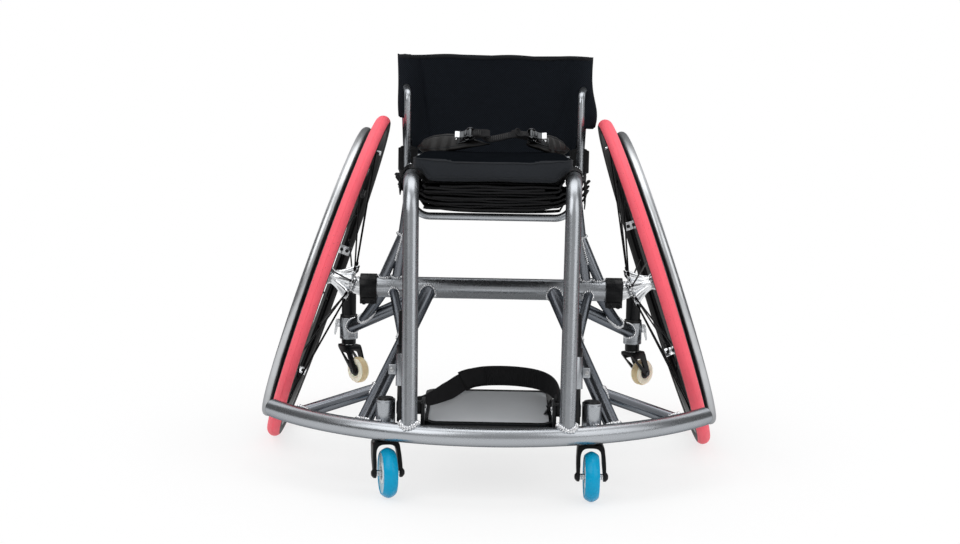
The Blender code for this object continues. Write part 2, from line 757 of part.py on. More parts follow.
def make_caster(name, side, materials):
    place = place_at((side * CASTER_X, CASTER_STEM_Y, 0), Matrix.Rotation(CASTER_TURN[name], 4, "Z"))
    fork = add_object(f"caster_fork_{name}", caster_fork_mesh(), materials["black_metal"], place)
    plate = CASTER_HOUSING / 2 - 0.002
    low = CASTER_CROWN_Z - CASTER_LEG_THICKNESS
    seat = CASTER_HOUSING_FOOT - RUN
    top = CASTER_HOUSING_TOP - 0.012
    stem = CASTER_STEM / 2
    crown = turned([(0, low), (plate, low), (plate, seat), (stem, seat), (stem, top), (0, top)], TURNED_SIDES)
    reach = CASTER_LEG_SPREAD + CASTER_LEG_THICKNESS / 2 + CASTER_AXLE_HEAD_LENGTH
    inner = CASTER_WIDTH / 2 - 0.0015
    leg = reach - CASTER_AXLE_HEAD_LENGTH - 0.001
    head, spacer = CASTER_AXLE_HEAD / 2, CASTER_SPACER / 2
    half_axle = [(head, reach), (head, leg), (spacer, leg), (spacer, inner + RUN)]
    half_axle.append((CASTER_AXLE / 2, inner + RUN))
    profile = [(0, -reach)] + mirrored(half_axle) + [(0, reach)]
    axle = turned(profile, BAR_SIDES)
    axle_place = place_at((0, -CASTER_TRAIL, CASTER_WHEEL / 2), Matrix.Rotation(math.pi / 2, 4, "Y"))
    join(fork, add_helper(f"caster_crown_{name}", crown, place))
    join(fork, add_helper(f"caster_axle_{name}", axle, place @ axle_place))

    outer, half = CASTER_WHEEL / 2, CASTER_WIDTH / 2
    half_profile = [
        (CASTER_AXLE / 2 + GAP, inner), (outer * 0.38, inner - 0.001), (outer * 0.56, half - 0.0025),
        (outer * 0.68, half), (outer * 0.86, half - 0.0016), (outer * 0.965, half * 0.52),
    ]
    wheel = turned(mirrored(half_profile, [(outer, 0)]), 20)
    add_object(f"caster_wheel_{name}", wheel, materials["caster"], place @ axle_place)


def make_tyre(name, side, materials):
    seat = RIM_OUTER_RADIUS + GAP
    half = TYRE_SECTION / 2
    start = math.acos((seat - TYRE_CENTRE_RADIUS) / half)
    steps = 6
    profile = []
    for i in range(steps + 1):
        turn = -start + 2 * start * i / steps
        profile.append((TYRE_CENTRE_RADIUS + half * math.cos(turn), half * math.sin(turn)))
    add_object(f"tyre_{name}", turned(profile, WHEEL_STEPS), materials["tread"], wheel_place(side))


def make_rim(name, side, materials):
    outer, half = RIM_OUTER_RADIUS, RIM_WIDTH / 2
    nose = outer - RIM_DEPTH
    half_profile = [(outer - RIM_WALL, half), (outer - 0.003, half), (outer, half - 0.001)]
    profile = [(nose, 0)] + mirrored(half_profile)
    add_object(f"rim_{name}", turned(profile, WHEEL_STEPS), materials["black_metal"], wheel_place(side))


def rim_inner_radius(turn):
    """The radius of the rim's inner edge, which is least in the middle of each of its flats."""
    step = 2 * math.pi / WHEEL_STEPS
    off_middle = turn % step - step / 2
    return (RIM_OUTER_RADIUS - RIM_DEPTH) * math.cos(step / 2) / math.cos(off_middle)


def make_handrim(name, side, materials):
    """A tube ring with clips that pass under the rim's nose."""
    place = wheel_place(side)
    ring = [
        Vector((HANDRIM_RADIUS * math.cos(t), HANDRIM_RADIUS * math.sin(t), HANDRIM_OFFSET))
        for t in (2 * math.pi * i / WHEEL_STEPS for i in range(WHEEL_STEPS))
    ]
    rings = []
    for point in ring:
        outwards = Vector((point.x, point.y, 0)).normalized()
        rings.append([point + outwards * u + Vector((0, 0, v)) for u, v in circle(HANDRIM_TUBE / 2, 8)])
    piece = add_object(f"handrim_{name}", skin(rings, closed_loop=True), materials["handrim"], place)
    radius = rim_inner_radius(math.pi / WHEEL_STEPS) - GAP - CLIP_THICKNESS / 2
    low, high = -RIM_WIDTH / 2 - 0.001, HANDRIM_OFFSET + 0.002
    clips = []
    for i in range(HANDRIM_CLIPS):
        turn = CLIP_TURN[name] + 2 * math.pi * i / HANDRIM_CLIPS
        clip = block((CLIP_THICKNESS, CLIP_WIDTH, high - low), 0, (radius, 0, (low + high) / 2))
        clips.append(moved(clip, Matrix.Rotation(turn, 4, "Z")))
    join(piece, add_helper(f"handrim_clips_{name}", merged(*clips), place))


def spoke(angle, height, rim_height, lean):
    """From a prong on the flange to just under the rim."""
    rim_radius = rim_inner_radius(angle + lean) - GAP
    start = Vector((
        (PRONG_RADIUS - 0.003) * math.cos(angle), (PRONG_RADIUS - 0.003) * math.sin(angle), height))
    end = Vector((rim_radius * math.cos(angle + lean), rim_radius * math.sin(angle + lean), rim_height))
    return straight_tube(start, end, SPOKE_DIAMETER, 5)


def make_hub(name, side, materials):
    """The hub shell with its two rings of prongs, and the spokes that they hold."""
    bore = AXLE_DIAMETER / 2 + GAP
    barrel, flange = HUB_BARREL_RADIUS, FLANGE_RADIUS
    profile = [(bore, -HUB_INBOARD), (barrel + 0.002, -HUB_INBOARD)]
    collar = barrel + 0.002
    for middle, foot, head in ((-FLANGE_INBOARD, collar, barrel), (FLANGE_OUTBOARD, barrel, collar)):
        low, high = middle - FLANGE_THICKNESS / 2, middle + FLANGE_THICKNESS / 2
        profile += [(foot, low - 0.001), (flange, low), (flange, high), (head, high + 0.001)]
    profile += [(collar, HUB_OUTBOARD), (bore, HUB_OUTBOARD)]
    place = wheel_place(side)
    piece = add_object(f"hub_{name}", turned(profile, TURNED_SIDES), materials["silver"], place)
    prongs, spokes = [], []
    for middle, lean in ((-FLANGE_INBOARD, -SPOKE_LEAN), (FLANGE_OUTBOARD, SPOKE_LEAN)):
        rim_height = math.copysign(SPOKE_DIAMETER / 2, middle)
        for i in range(SPOKES_PER_FLANGE):
            angle = HUB_TURN[name] + 2 * math.pi * (i + (0.5 if middle > 0 else 0)) / SPOKES_PER_FLANGE
            prong = block(
                (PRONG_RADIUS - flange + 0.006, PRONG_SIZE, FLANGE_THICKNESS - 0.0004), 0.0,
                ((PRONG_RADIUS + flange - 0.006) / 2, 0, middle))
            prongs.append(moved(prong, Matrix.Rotation(angle, 4, "Z")))
            spokes.append(spoke(angle, middle, rim_height, lean))
    join(piece, add_helper(f"prongs_{name}", merged(*prongs), place))
    join(piece, add_helper(f"spokes_{name}", merged(*spokes), place))


def make_axle(name, side, materials):
    """The quick-release axle, which stays in the plug while the wheel turns on it, and its button."""
    head = HUB_OUTBOARD + RUN
    button_bore = BUTTON_DIAMETER / 2 + GAP
    pin = AXLE_DIAMETER / 2
    floor = head + AXLE_HEAD_LENGTH - (BUTTON_LENGTH - BUTTON_PROUD) - BUTTON_TRAVEL - GAP
    end = -(HUB_INBOARD + AXLE_REACH)
    cap, cap_top = AXLE_HEAD_DIAMETER / 2, head + AXLE_HEAD_LENGTH
    profile = [
        (0, end), (pin - 0.0015, end), (pin, end + 0.0015), (pin, head), (cap, head), (cap, cap_top - 0.001),
        (cap - 0.001, cap_top), (button_bore, cap_top), (button_bore, floor), (0, floor),
    ]
    place = wheel_place(side)
    add_object(f"axle_{name}", turned(profile, TURNED_SIDES), materials["silver"], place)
    top = cap_top + BUTTON_PROUD
    radius, foot = BUTTON_DIAMETER / 2, top - BUTTON_LENGTH
    button = turned(
        [(0, foot), (radius, foot), (radius, top - 0.0012), (radius - 0.0012, top), (0, top)], TURNED_SIDES)
    add_object(f"axle_button_{name}", button, materials["black_metal"], place)


def lever_pivot(side):
    """Where the clamp's lever turns, from the foot of the stem's axis."""
    return Vector((side * (TIP_HOUSING / 2 + LEVER_REACH), 0, TIP_HOUSING_FOOT + LEVER_RISE))


def make_tip_arm(name, side, materials, camber_tube):
    """The stem's housing on its two tubes from the camber tube."""
    middle = (TIP_HOUSING_TOP + TIP_HOUSING_FOOT) / 2
    centre = Vector((side * TIP_X, TIP_Y, middle))
    housing = bar(TIP_HOUSING / 2, TIP_HOUSING_FOOT, TIP_HOUSING_TOP)
    place = place_at((centre.x, centre.y, 0))
    piece = add_object(f"anti_tip_arm_{name}", housing, materials["frame"], place)
    arm_end = Vector((side * TIP_ARM_X, 0, CAMBER_TUBE_Z - TIP_ARM_DROP))
    arm = straight_tube(centre, arm_end, TIP_ARM)
    strut = straight_tube(
        centre.lerp(arm_end, TIP_STRUT_AT), (side * TIP_STRUT_X, 0, CAMBER_TUBE_Z), TIP_STRUT)
    join(piece, add_helper(f"tip_arm_{name}", arm), add_helper(f"tip_strut_{name}", strut))
    lug_place = (side * (TIP_HOUSING / 2 + 0.002), 0, TIP_HOUSING_FOOT + LEVER_RISE)
    lug = block(TIP_LUG, 0, lug_place)
    join(piece, add_helper(f"tip_lug_{name}", lug, place))
    bore = bar(TIP_STEM / 2 + GAP, TIP_HOUSING_FOOT - 0.01, TIP_HOUSING_TOP + 0.01)
    slot = block((0.010, LEVER_WIDTH + 2 * GAP, 0.02), 0, lever_pivot(side))
    cut(
        piece, camber_tube, add_helper(f"cut_tip_bore_{name}", bore, place),
        add_helper(f"cut_lever_slot_{name}", slot, place))


def make_tip_lever(name, side, materials):
    """A cam lever that pinches the housing on the stem. It hangs down, and swings out and up."""
    thick = LEVER_THICKNESS
    outline = []
    for i in range(9):
        turn = math.pi * i / 8
        outline.append((thick / 2 * 1.2 * math.cos(turn), thick / 2 * 1.2 * math.sin(turn)))
    outline += [
        (-thick / 2, -LEVER_LENGTH * 0.45), (0.001, -LEVER_LENGTH),
        (0.001 + thick * 0.8, -LEVER_LENGTH + 0.001), (thick / 2 + 0.001, -LEVER_LENGTH * 0.45),
    ]
    turn = Matrix(((side, 0, 0, 0), (0, 0, -1, 0), (0, 1, 0, 0), (0, 0, 0, 1)))
    half = LEVER_WIDTH / 2
    place = place_at((side * TIP_X, TIP_Y, 0)) @ place_at(lever_pivot(side), turn)
    add_object(f"anti_tip_lever_{name}", prism(outline, -half, half), materials["silver"], place)


def make_tip_stem(name, side, materials):
    radius = TIP_STEM / 2
    bore, bore_top = TIP_PIN / 2 + GAP, TIP_STEM_FOOT + TIP_PIN_LENGTH + 0.002
    profile = [
        (0, bore_top), (bore, bore_top), (bore, TIP_STEM_FOOT), (radius - 0.001, TIP_STEM_FOOT),
        (radius, TIP_STEM_FOOT + 0.001), (radius, TIP_STEM_TOP - 0.0015), (radius - 0.0015, TIP_STEM_TOP),
        (0, TIP_STEM_TOP),
    ]
    place = place_at((side * TIP_X, TIP_Y, -TIP_LOWER[name]))
    add_object(f"anti_tip_stem_{name}", turned(profile, TURNED_SIDES), materials["black_metal"], place)


def tip_leg_outline():
    """One leg of the fork from the side: local X is the trail, local Y is the height."""
    back, front = -TIP_FORK_DEPTH / 2 + 0.002, TIP_FORK_DEPTH / 2 + 0.002
    eye = TIP_EYE / 2
    outline = [(back, 0), (front, 0), (front + 0.004, -0.006)]
    for i in range(9):
        turn = math.radians(30) - math.radians(200) * i / 8
        outline.append((TIP_TRAIL + eye * math.cos(turn), -TIP_DROP + eye * math.sin(turn)))
    outline.append((back, -TIP_FORK_TOP))
    return outline


def make_tip_caster(name, side, materials):
    fork_top = TIP_STEM_FOOT - TIP_SHIM - GAP - TIP_LOWER[name]
    place = place_at((side * TIP_X, TIP_Y, fork_top), Matrix.Rotation(TIP_TURN[name], 4, "Z"))
    upright = Matrix(((1, 0, 0, 0), (0, 0, -1, 0), (0, 1, 0, 0), (0, 0, 0, 1)))
    leg = TIP_WHEEL_WIDTH / 2 + RUN + TIP_FORK_WALL
    body = prism(tip_leg_outline(), -leg, leg)
    fork = add_object(f"anti_tip_fork_{name}", body, materials["black_metal"], place @ upright)
    inside = block((0.2, 2 * (leg - TIP_FORK_WALL), 0.2), 0, (0, 0, -0.1 - TIP_FORK_TOP))
    window = prism(TIP_WINDOW, -0.05, 0.05)
    cut(fork, add_helper(f"cut_fork_{name}", inside, place))
    cut(fork, add_helper(f"cut_window_{name}", window, place @ upright))
    shim, pin_radius = TIP_SHIM_DIAMETER / 2, TIP_PIN / 2
    pin = turned([
        (0, -0.002), (shim, -0.002), (shim, TIP_SHIM), (pin_radius, TIP_SHIM), (pin_radius, TIP_PIN_LENGTH),
        (0, TIP_PIN_LENGTH),
    ], TURNED_SIDES)
    axle_place = place @ place_at((TIP_TRAIL, 0, -TIP_DROP), Matrix.Rotation(math.pi / 2, 4, "X"))
    head = TIP_AXLE / 2 + 0.0008
    half_axle = [(0, leg + 0.0015), (head, leg + 0.0015), (head, leg - 0.001), (TIP_AXLE / 2, leg - 0.001)]
    axle = turned(mirrored(half_axle), BAR_SIDES)
    join(fork, add_helper(f"tip_pin_{name}", pin, place), add_helper(f"tip_axle_{name}", axle, axle_place))
    outer, half = TIP_WHEEL / 2, TIP_WHEEL_WIDTH / 2
    bore = TIP_AXLE / 2 + GAP
    half_profile = [(bore, half), (outer * 0.5, half), (outer * 0.9, half - 0.001), (outer, half * 0.62)]
    add_object(f"anti_tip_wheel_{name}", turned(mirrored(half_profile), 20), materials["cream"], axle_place)


def make_footrest_sleeve(name, side, materials, front_cutter):
    """The sleeve on the back of the front tube in which a footrest hanger slides."""
    upwards, _, _ = hanger_line()
    turn = frame_along(upwards, Vector((0, 1, 0)))
    foot = hanger_point(side, SLEEVE_FOOT_Z)
    length = (SLEEVE_TOP_Z - SLEEVE_FOOT_Z) / upwards.z
    inner = HANGER_TUBE / 2 + GAP
    place = place_at(foot, turn)
    sleeve = washer(inner, inner + SLEEVE_WALL, 0, length)
    piece = add_object(f"footrest_sleeve_{name}", sleeve, materials["frame"], place)
    middle = (side * (inner + SLEEVE_WALL + SLEEVE_LUG[0] * 0.4), SLEEVE_LUG_Y, length / 2)
    half = SLEEVE_SCREW_LENGTH / 2
    screw_place = place_at(middle, Matrix.Rotation(math.pi / 2, 4, "X"))
    lug = block(SLEEVE_LUG, 0, middle)
    screw = moved(bar(SLEEVE_SCREW / 2, -half, half, 8), screw_place)
    for label, shape in (("lug", lug), ("screw", screw)):
        join(piece, add_helper(f"sleeve_{label}_{name}", shape, place))
    bore = bar(inner, -0.01, length + 0.01)
    cut(piece, add_helper(f"cut_sleeve_{name}", bore, place), front_cutter)


def footplate_place():
    return place_at((0, PLATE_FRONT_Y, PLATE_FRONT_Z), Matrix.Rotation(PLATE_TILT, 4, "X"))


def plate_outline(half, front, rear, corner):
    points = []
    for x, y, start in ((half, front, -90), (half, rear, 0), (-half, rear, 90), (-half, front, 180)):
        centre_x = x - math.copysign(corner, x)
        centre_y = y + corner if y == front else y - corner
        for i in range(4):
            turn = math.radians(start + 30 * i)
            points.append((centre_x + corner * math.cos(turn), centre_y + corner * math.sin(turn)))
    return points


def make_footrest(materials):
    """The tray with its brackets and hangers, and the sheet that lies in it."""
    depth = PLATE_REAR_Y - PLATE_FRONT_Y
    place = footplate_place()
    outline = plate_outline(PLATE_HALF_WIDTH, 0, depth, PLATE_CORNER)
    tray = add_object("footplate_tray", prism(outline, 0, PLATE_THICKNESS), materials["black_metal"], place)
    half, front, rear = PLATE_HALF_WIDTH - PLATE_RIM, PLATE_END_RIM, depth - PLATE_END_RIM
    corner = PLATE_CORNER - PLATE_RIM / 2
    floor = PLATE_THICKNESS - PLATE_RECESS
    bed = plate_outline(half, front, rear, corner)
    cut(tray, add_helper("cut_tray", prism(bed, floor, floor + 0.05), place))
    sheet = plate_outline(half - GAP, front + GAP, rear - GAP, corner)
    low = floor + GAP
    add_object("footplate", prism(sheet, low, low + PLATE_SHEET), materials["plate"], place)
    upwards, _, _ = hanger_line()
    turn = frame_along(upwards, Vector((0, 1, 0)))
    for name, side in SIDES:
        foot, top = hanger_point(side, HANGER_FOOT_Z), hanger_point(side, HANGER_TOP_Z)
        collar = (COLLAR_Z - HANGER_FOOT_Z) / upwards.z
        radius = HANGER_TUBE / 2
        wide, collar_top, end = radius + COLLAR_WALL, collar + COLLAR_HEIGHT, (top - foot).length
        profile = [
            (0, 0), (radius, 0), (radius, collar), (wide, collar), (wide, collar_top), (radius, collar_top),
            (radius, end), (0, end),
        ]
        hanger = turned(profile, TURNED_SIDES)
        middle = hanger_point(side, BRACKET_Z + BRACKET_HEIGHT / 2)
        inward = PLATE_HALF_WIDTH - 0.004
        outer = HANGER_X + radius + 0.001
        depth = bracket_back() - middle.y + 0.002
        ear = block(
            (outer - inward, depth, BRACKET_HEIGHT), 0,
            (side * (outer + inward) / 2, bracket_back() - depth / 2, middle.z))
        cheek = block(
            CHEEK, 0,
            (side * (inward + 0.001), middle.y + 0.014, middle.z - (CHEEK[2] - BRACKET_HEIGHT) / 2))
        join(tray, add_helper(f"hanger_{name}", hanger, place_at(foot, turn)))
        join(tray, add_helper(f"bracket_{name}", ear), add_helper(f"cheek_{name}", cheek))


def bracket_back():
    """The Y of the rear face of the brackets between the hangers and the tray."""
    return hanger_point(1, BRACKET_Z + BRACKET_HEIGHT / 2).y + HANGER_TUBE / 2 + 0.002


def foot_strap_path():
    """The loop behind the heels. Its right half is pulled tight, and cuts the corner low and slack."""
    start = bracket_back() + FOOT_STRAP_GAP
    points = [Vector((-FOOT_STRAP_X, start, FOOT_STRAP_Z))]
    for across, along, up in FOOT_STRAP_ROUTE:
        y = start + along * (PLATE_REAR_Y - start)
        points.append(Vector((across * FOOT_STRAP_X, y, FOOT_STRAP_Z + up * FOOT_STRAP_WIDTH)))
    points.append(Vector((FOOT_STRAP_X, start, FOOT_STRAP_Z)))
    return points


def ribbon(points, width, thickness, width_axis):
    """A flat strap along the points. Its width runs along one axis, or along width_axis(i)."""
    rings = []
    for i, point in enumerate(points):
        along = (points[min(i + 1, len(points) - 1)] - points[max(i - 1, 0)]).normalized()
        axis = width_axis(i) if callable(width_axis) else width_axis
        axis = (axis - along * axis.dot(along)).normalized()
        across = along.cross(axis)
        rings.append([
            point + axis * (u * width / 2) + across * (v * thickness / 2)
            for u, v in ((-1, -1), (1, -1), (1, 1), (-1, 1))
        ])
    return skin(rings)


def make_foot_strap(materials):
    path = foot_strap_path()

    def lean(i):
        """Upright behind the heels, and laid back where the strap crosses the plate's right side."""
        if path[i].y <= path[1].y:
            return Vector((0, 0, 1))
        slack = min(max(-4 * path[i].x / FOOT_STRAP_X - 1, 0), 1)
        return Vector((-slack / 2, slack * 3 / 4, 1))

    strap = ribbon(path, FOOT_STRAP_WIDTH, FOOT_STRAP_THICKNESS, lean)
    add_object("foot_strap", strap, materials["webbing"], sharp=60)


def seat_drop(y):
    """How far the seat rails have fallen at y, from the front of the cushion."""
    return on_seat_rail(1, CUSHION_FRONT_Y).z - on_seat_rail(1, y).z


def cushion_foot(x, y):
    """The cushion's underside: it lies on the rails and hangs a little between them."""
    rail = on_seat_rail(1, y)
    inner = rail.x - FRONT_TUBE / 2
    top = rail.z + FRONT_TUBE / 2 + GAP * 2
    middle = CUSHION_SEAT_Z - seat_drop(y)
    share = min(max((abs(x) / inner - 0.78) / 0.2, 0), 1)
    return middle + (top - middle) * share * share * (3 - 2 * share)


def cushion_top(x, y):
    length = CUSHION_REAR_Y - CUSHION_FRONT_Y
    along = (y - CUSHION_FRONT_Y) / length
    across = abs(x) / CUSHION_HALF_WIDTH
    crown = CUSHION_CROWN * (1 - across ** 2) * math.sin(math.pi * min(max(along, 0), 1)) ** 0.5
    return CUSHION_SEAT_Z + CUSHION_THICKNESS - seat_drop(y) + crown + CUSHION_SAG * (across ** 2 - 0.35)


def make_cushion(materials):
    """A crowned pad whose sides draw in between its corners."""
    across, along = 12, 10

    def sheet(height, inset):
        rows = []
        for j in range(along + 1):
            t = j / along
            row = []
            for i in range(across + 1):
                s = 2 * i / across - 1
                pull_x = CUSHION_DRAW * math.sin(math.pi * t)
                pull_y = CUSHION_DRAW * math.cos(math.pi * s / 2)
                x = s * (CUSHION_HALF_WIDTH - pull_x - inset)
                y = CUSHION_FRONT_Y + inset + (CUSHION_REAR_Y - CUSHION_FRONT_Y - 2 * inset) * t
                y += pull_y * (1 - 2 * t) if abs(1 - 2 * t) > 0.99 else 0
                row.append((x, y, height(x, y)))
            rows.append(row)
        return rows

    edge = CUSHION_EDGE
    bottom = sheet(lambda x, y: cushion_foot(x, y), edge * 0.5)
    low = sheet(lambda x, y: cushion_foot(x, y) + edge, 0)
    high = sheet(lambda x, y: cushion_top(x, y) - edge, 0)
    top = sheet(lambda x, y: cushion_top(x, y), edge)
    edit = bmesh.new()

    def border(rows):
        last_i, last_j = len(rows[0]) - 1, len(rows) - 1
        order = [(0, i) for i in range(last_i)] + [(j, last_i) for j in range(last_j)]
        order += [(last_j, i) for i in range(last_i, 0, -1)] + [(j, 0) for j in range(last_j, 0, -1)]
        return order

    grids = {}
    for key, rows in (("bottom", bottom), ("top", top)):
        grids[key] = [[edit.verts.new(point) for point in row] for row in rows]
        for j in range(along):
            for i in range(across):
                grid = grids[key]
                edit.faces.new((grid[j][i], grid[j][i + 1], grid[j + 1][i + 1], grid[j + 1][i]))
    order = border(bottom)
    loops = [[grids["bottom"][j][i] for j, i in order]]
    for rows in (low, high):
        loops.append([edit.verts.new(rows[j][i]) for j, i in order])
    loops.append([grids["top"][j][i] for j, i in order])
    for first, second in zip(loops, loops[1:]):
        for n in range(len(order)):
            m = (n + 1) % len(order)
            edit.faces.new((first[n], first[m], second[m], second[n]))
    add_object("seat_cushion", edit, materials["cushion"], sharp=50)


def make_seat_sling(materials):
    """The stack of tension straps between the seat rails, which hangs lowest in the middle."""
    steps = 12
    rings = []
    for j in range(5):
        y = CUSHION_FRONT_Y + 0.002 + (CUSHION_REAR_Y - CUSHION_FRONT_Y - 0.004) * j / 4
        half = on_seat_rail(1, y).x - FRONT_TUBE / 2 - 0.0008
        rail_z = on_seat_rail(1, y).z
        shares = [2 * i / steps - 1 for i in range(steps + 1)]
        top, foot = [], []
        for s in shares:
            x = s * half
            high = min(cushion_foot(x, y) - SLING_GAP, rail_z + 0.004)
            low = CUSHION_SEAT_Z - seat_drop(y) - SLING_DROP + SLING_EDGE * abs(s) ** 5
            top.append(Vector((x, y, high)))
            foot.append(Vector((x, y, low)))
        rings.append(top + foot[::-1])
    add_object("seat_sling", skin(rings), materials["webbing"], sharp=50)


def cane_x(z):
    foot = on_seat_rail(1, CANE_Y).z
    return CANE_FOOT_X + (CANE_TOP_X - CANE_FOOT_X) * (z - foot) / (CANE_TOP - foot)


def cane_path(side):
    foot = on_seat_rail(1, CANE_Y).z
    return [Vector((side * cane_x(z), CANE_Y, z)) for z in (foot, CANE_TOP)]


def stay_path(side):
    rail = on_seat_rail(side, STAY_Y)
    end = STAY_BEND_Z + STAY_RISE
    return [
        Vector((side * STAY_X, STAY_Y, rail.z)),
        Vector((side * STAY_X, STAY_Y, STAY_BEND_Z)),
        Vector((side * cane_x(end), CANE_Y, end)),
    ]


def make_back_frame(materials, front_cutters):
    """Two canes on the seat rails, the bar between them, and a stay bent back into each cane.

    It gives back the cutters for the upholstery that the stays and the bar pass through.
    """
    bar_ends = [Vector((side * cane_x(BACK_BAR_Z), CANE_Y, BACK_BAR_Z)) for side in (-1, 1)]
    piece = add_object("back_frame", straight_tube(*bar_ends, BACK_BAR, BAR_SIDES), materials["frame"])
    cutters = []
    for name, side in SIDES:
        join(piece, add_helper(f"cane_{name}", straight_tube(*cane_path(side), CANE_TUBE)))
        stay = rounded_path(stay_path(side), STAY_BEND, SMALL_BEND_STEP)
        join(piece, add_helper(f"back_stay_{name}", tube(stay, STAY_TUBE, BAR_SIDES)))
        cutters.append(add_helper(f"cut_stay_{name}", tube(stay, STAY_TUBE + 2 * GAP, BAR_SIDES)))
    cutters.append(add_helper("cut_back_bar", straight_tube(*bar_ends, BACK_BAR + 2 * GAP, BAR_SIDES)))
    cut(piece, *front_cutters)
    return cutters


def back_sheet_y(x, z):
    """The middle of the back sheet: it hollows backwards between the canes."""
    height = (z - BACK_FOOT) / (BACK_TOP - BACK_FOOT)
    share = 1 - (x / cane_x(z)) ** 2
    return CANE_Y + BACK_SAG * share * (0.55 + 1.5 * height * (1 - height))


def cane_bore(sides):
    """The radius of a many-sided bore that clears a cane."""
    return CANE_TUBE / 2 / math.cos(math.pi / sides) + GAP


def sleeve_round_cane(side, sections, sides=TUBE_SIDES):
    """A sleeve round a cane. Each section is a height, a wall and how far it bags outboard."""
    rings = []
    for z, wall, bulge in sections:
        radius = CANE_TUBE / 2 + wall + bulge / 2
        centre = Vector((side * (cane_x(z) + bulge / 2), CANE_Y, z))
        rings.append([centre + Vector((u, v, 0)) for u, v in circle(radius, sides)])
    for z in (sections[-1][0], sections[0][0]):
        centre = Vector((side * cane_x(z), CANE_Y, z))
        rings.append([centre + Vector((u, v, 0)) for u, v in circle(cane_bore(sides), sides)])
    return skin(rings, closed_loop=True)


def make_back_sling(materials, stay_cutters, front_cutters):
    """The back upholstery: a hollowed sheet, its pockets on the canes and its lower bands."""
    across, rows = 12, 6
    inset = cane_bore(TUBE_SIDES) + POCKET_WALL / 3
    rings = []
    for j in range(rows + 1):
        z = BACK_FOOT + (BACK_TOP - BACK_FOOT) * j / rows
        shares = [2 * i / across - 1 for i in range(across + 1)]
        front, rear = [], []
        for s in shares:
            x = s * (cane_x(z) - inset)
            y = back_sheet_y(x, z)
            front.append(Vector((x, y - BACK_SHEET / 2, z)))
            rear.append(Vector((x, y + BACK_SHEET / 2, z)))
        rings.append(front + rear[::-1])
    piece = add_object("back_sling", skin(rings), materials["mesh"], sharp=50)
    for name, side in SIDES:
        upper = (POCKET_BULGE_Z + BACK_TOP) / 2
        pocket = sleeve_round_cane(side, [
            (POCKET_FOOT, POCKET_WALL, 0), (POCKET_BULGE_Z, POCKET_WALL, POCKET_BULGE),
            (upper, POCKET_WALL, POCKET_BULGE * 0.3), (BACK_TOP - 0.0005, POCKET_WALL, 0),
        ])
        band = sleeve_round_cane(side, [(BAND_FOOT, BAND_WALL, 0), (BAND_TOP, BAND_WALL, 0)])
        join(piece, add_helper(f"pocket_{name}", pocket), add_helper(f"band_{name}", band))
    cut(piece, *stay_cutters, *front_cutters)


def buckle_place(name, side):
    """Local X runs inboard along the strap, local Y across it and local Z out of its face."""
    inboard = Vector((-side, 0, 0))
    face = Vector((0, -math.sin(BUCKLE_TILT), math.cos(BUCKLE_TILT)))
    across = face.cross(inboard)
    turn = Matrix((inboard, across, face)).transposed().to_4x4()
    return place_at((side * BUCKLE_X[name], BUCKLE_Y, BUCKLE_Z), turn)


def make_belt(name, side, materials):
    """The padded half of the hip belt with its ratchet buckle's base."""
    buckle_x, long = BUCKLE_X[name], BUCKLE_LENGTH
    corners = [
        (CUSHION_HALF_WIDTH * 0.955, BUCKLE_Y * 0.1), (CUSHION_HALF_WIDTH * 0.896, BUCKLE_Y * 0.45),
        (buckle_x + long * 0.62, BUCKLE_Y * 0.82), (buckle_x + long * 0.14, BUCKLE_Y * 0.98),
        (buckle_x - long / 3, BUCKLE_Y * 1.04),
    ]
    points = []
    for x, y in corners:
        points.append(Vector((side * x, y, cushion_top(x, y) + BELT_LIFT)))
    pad = ribbon(points, BELT_WIDTH, BELT_THICKNESS, Vector((side * -0.3, 0.9, 0.25)))
    piece = add_object(f"hip_belt_{name}", pad, materials["webbing"], sharp=60)
    place = buckle_place(name, side)
    length, width = BUCKLE_LENGTH, BUCKLE_WIDTH
    riser = block((length * 0.62, width * 0.66, BUCKLE_RISER), 0, (0, 0, 0.001 - BUCKLE_RISER / 2))
    base = block((length, width, BUCKLE_BASE), BUCKLE_BASE / 4, (0, 0, BUCKLE_BASE / 2), 1)
    cheeks = []
    for shift in (-1, 1):
        middle = (length * 0.27, shift * ((width - BUCKLE_CHEEK) / 2 - GAP), BUCKLE_HEIGHT / 2 + GAP)
        cheeks.append(block((length * 0.42, BUCKLE_CHEEK, BUCKLE_HEIGHT), BUCKLE_CHEEK / 4, middle, 1))
    drop, bend = 0.22, length * 2 / 3
    strap = [
        place @ Vector((x, 0, BUCKLE_BASE * 0.475 - max(x - bend, 0) * drop))
        for x in (length * 0.1, bend, length * 1.2)
    ]
    ladder = ribbon(strap, width * 0.72, STRAP_THICKNESS, place.to_3x3() @ Vector((0, 1, 0)))
    for label, shape in (("riser", riser), ("base", base), ("cheeks", merged(*cheeks))):
        join(piece, add_helper(f"buckle_{label}_{name}", shape, place))
    join(piece, add_helper(f"ladder_strap_{name}", ladder))


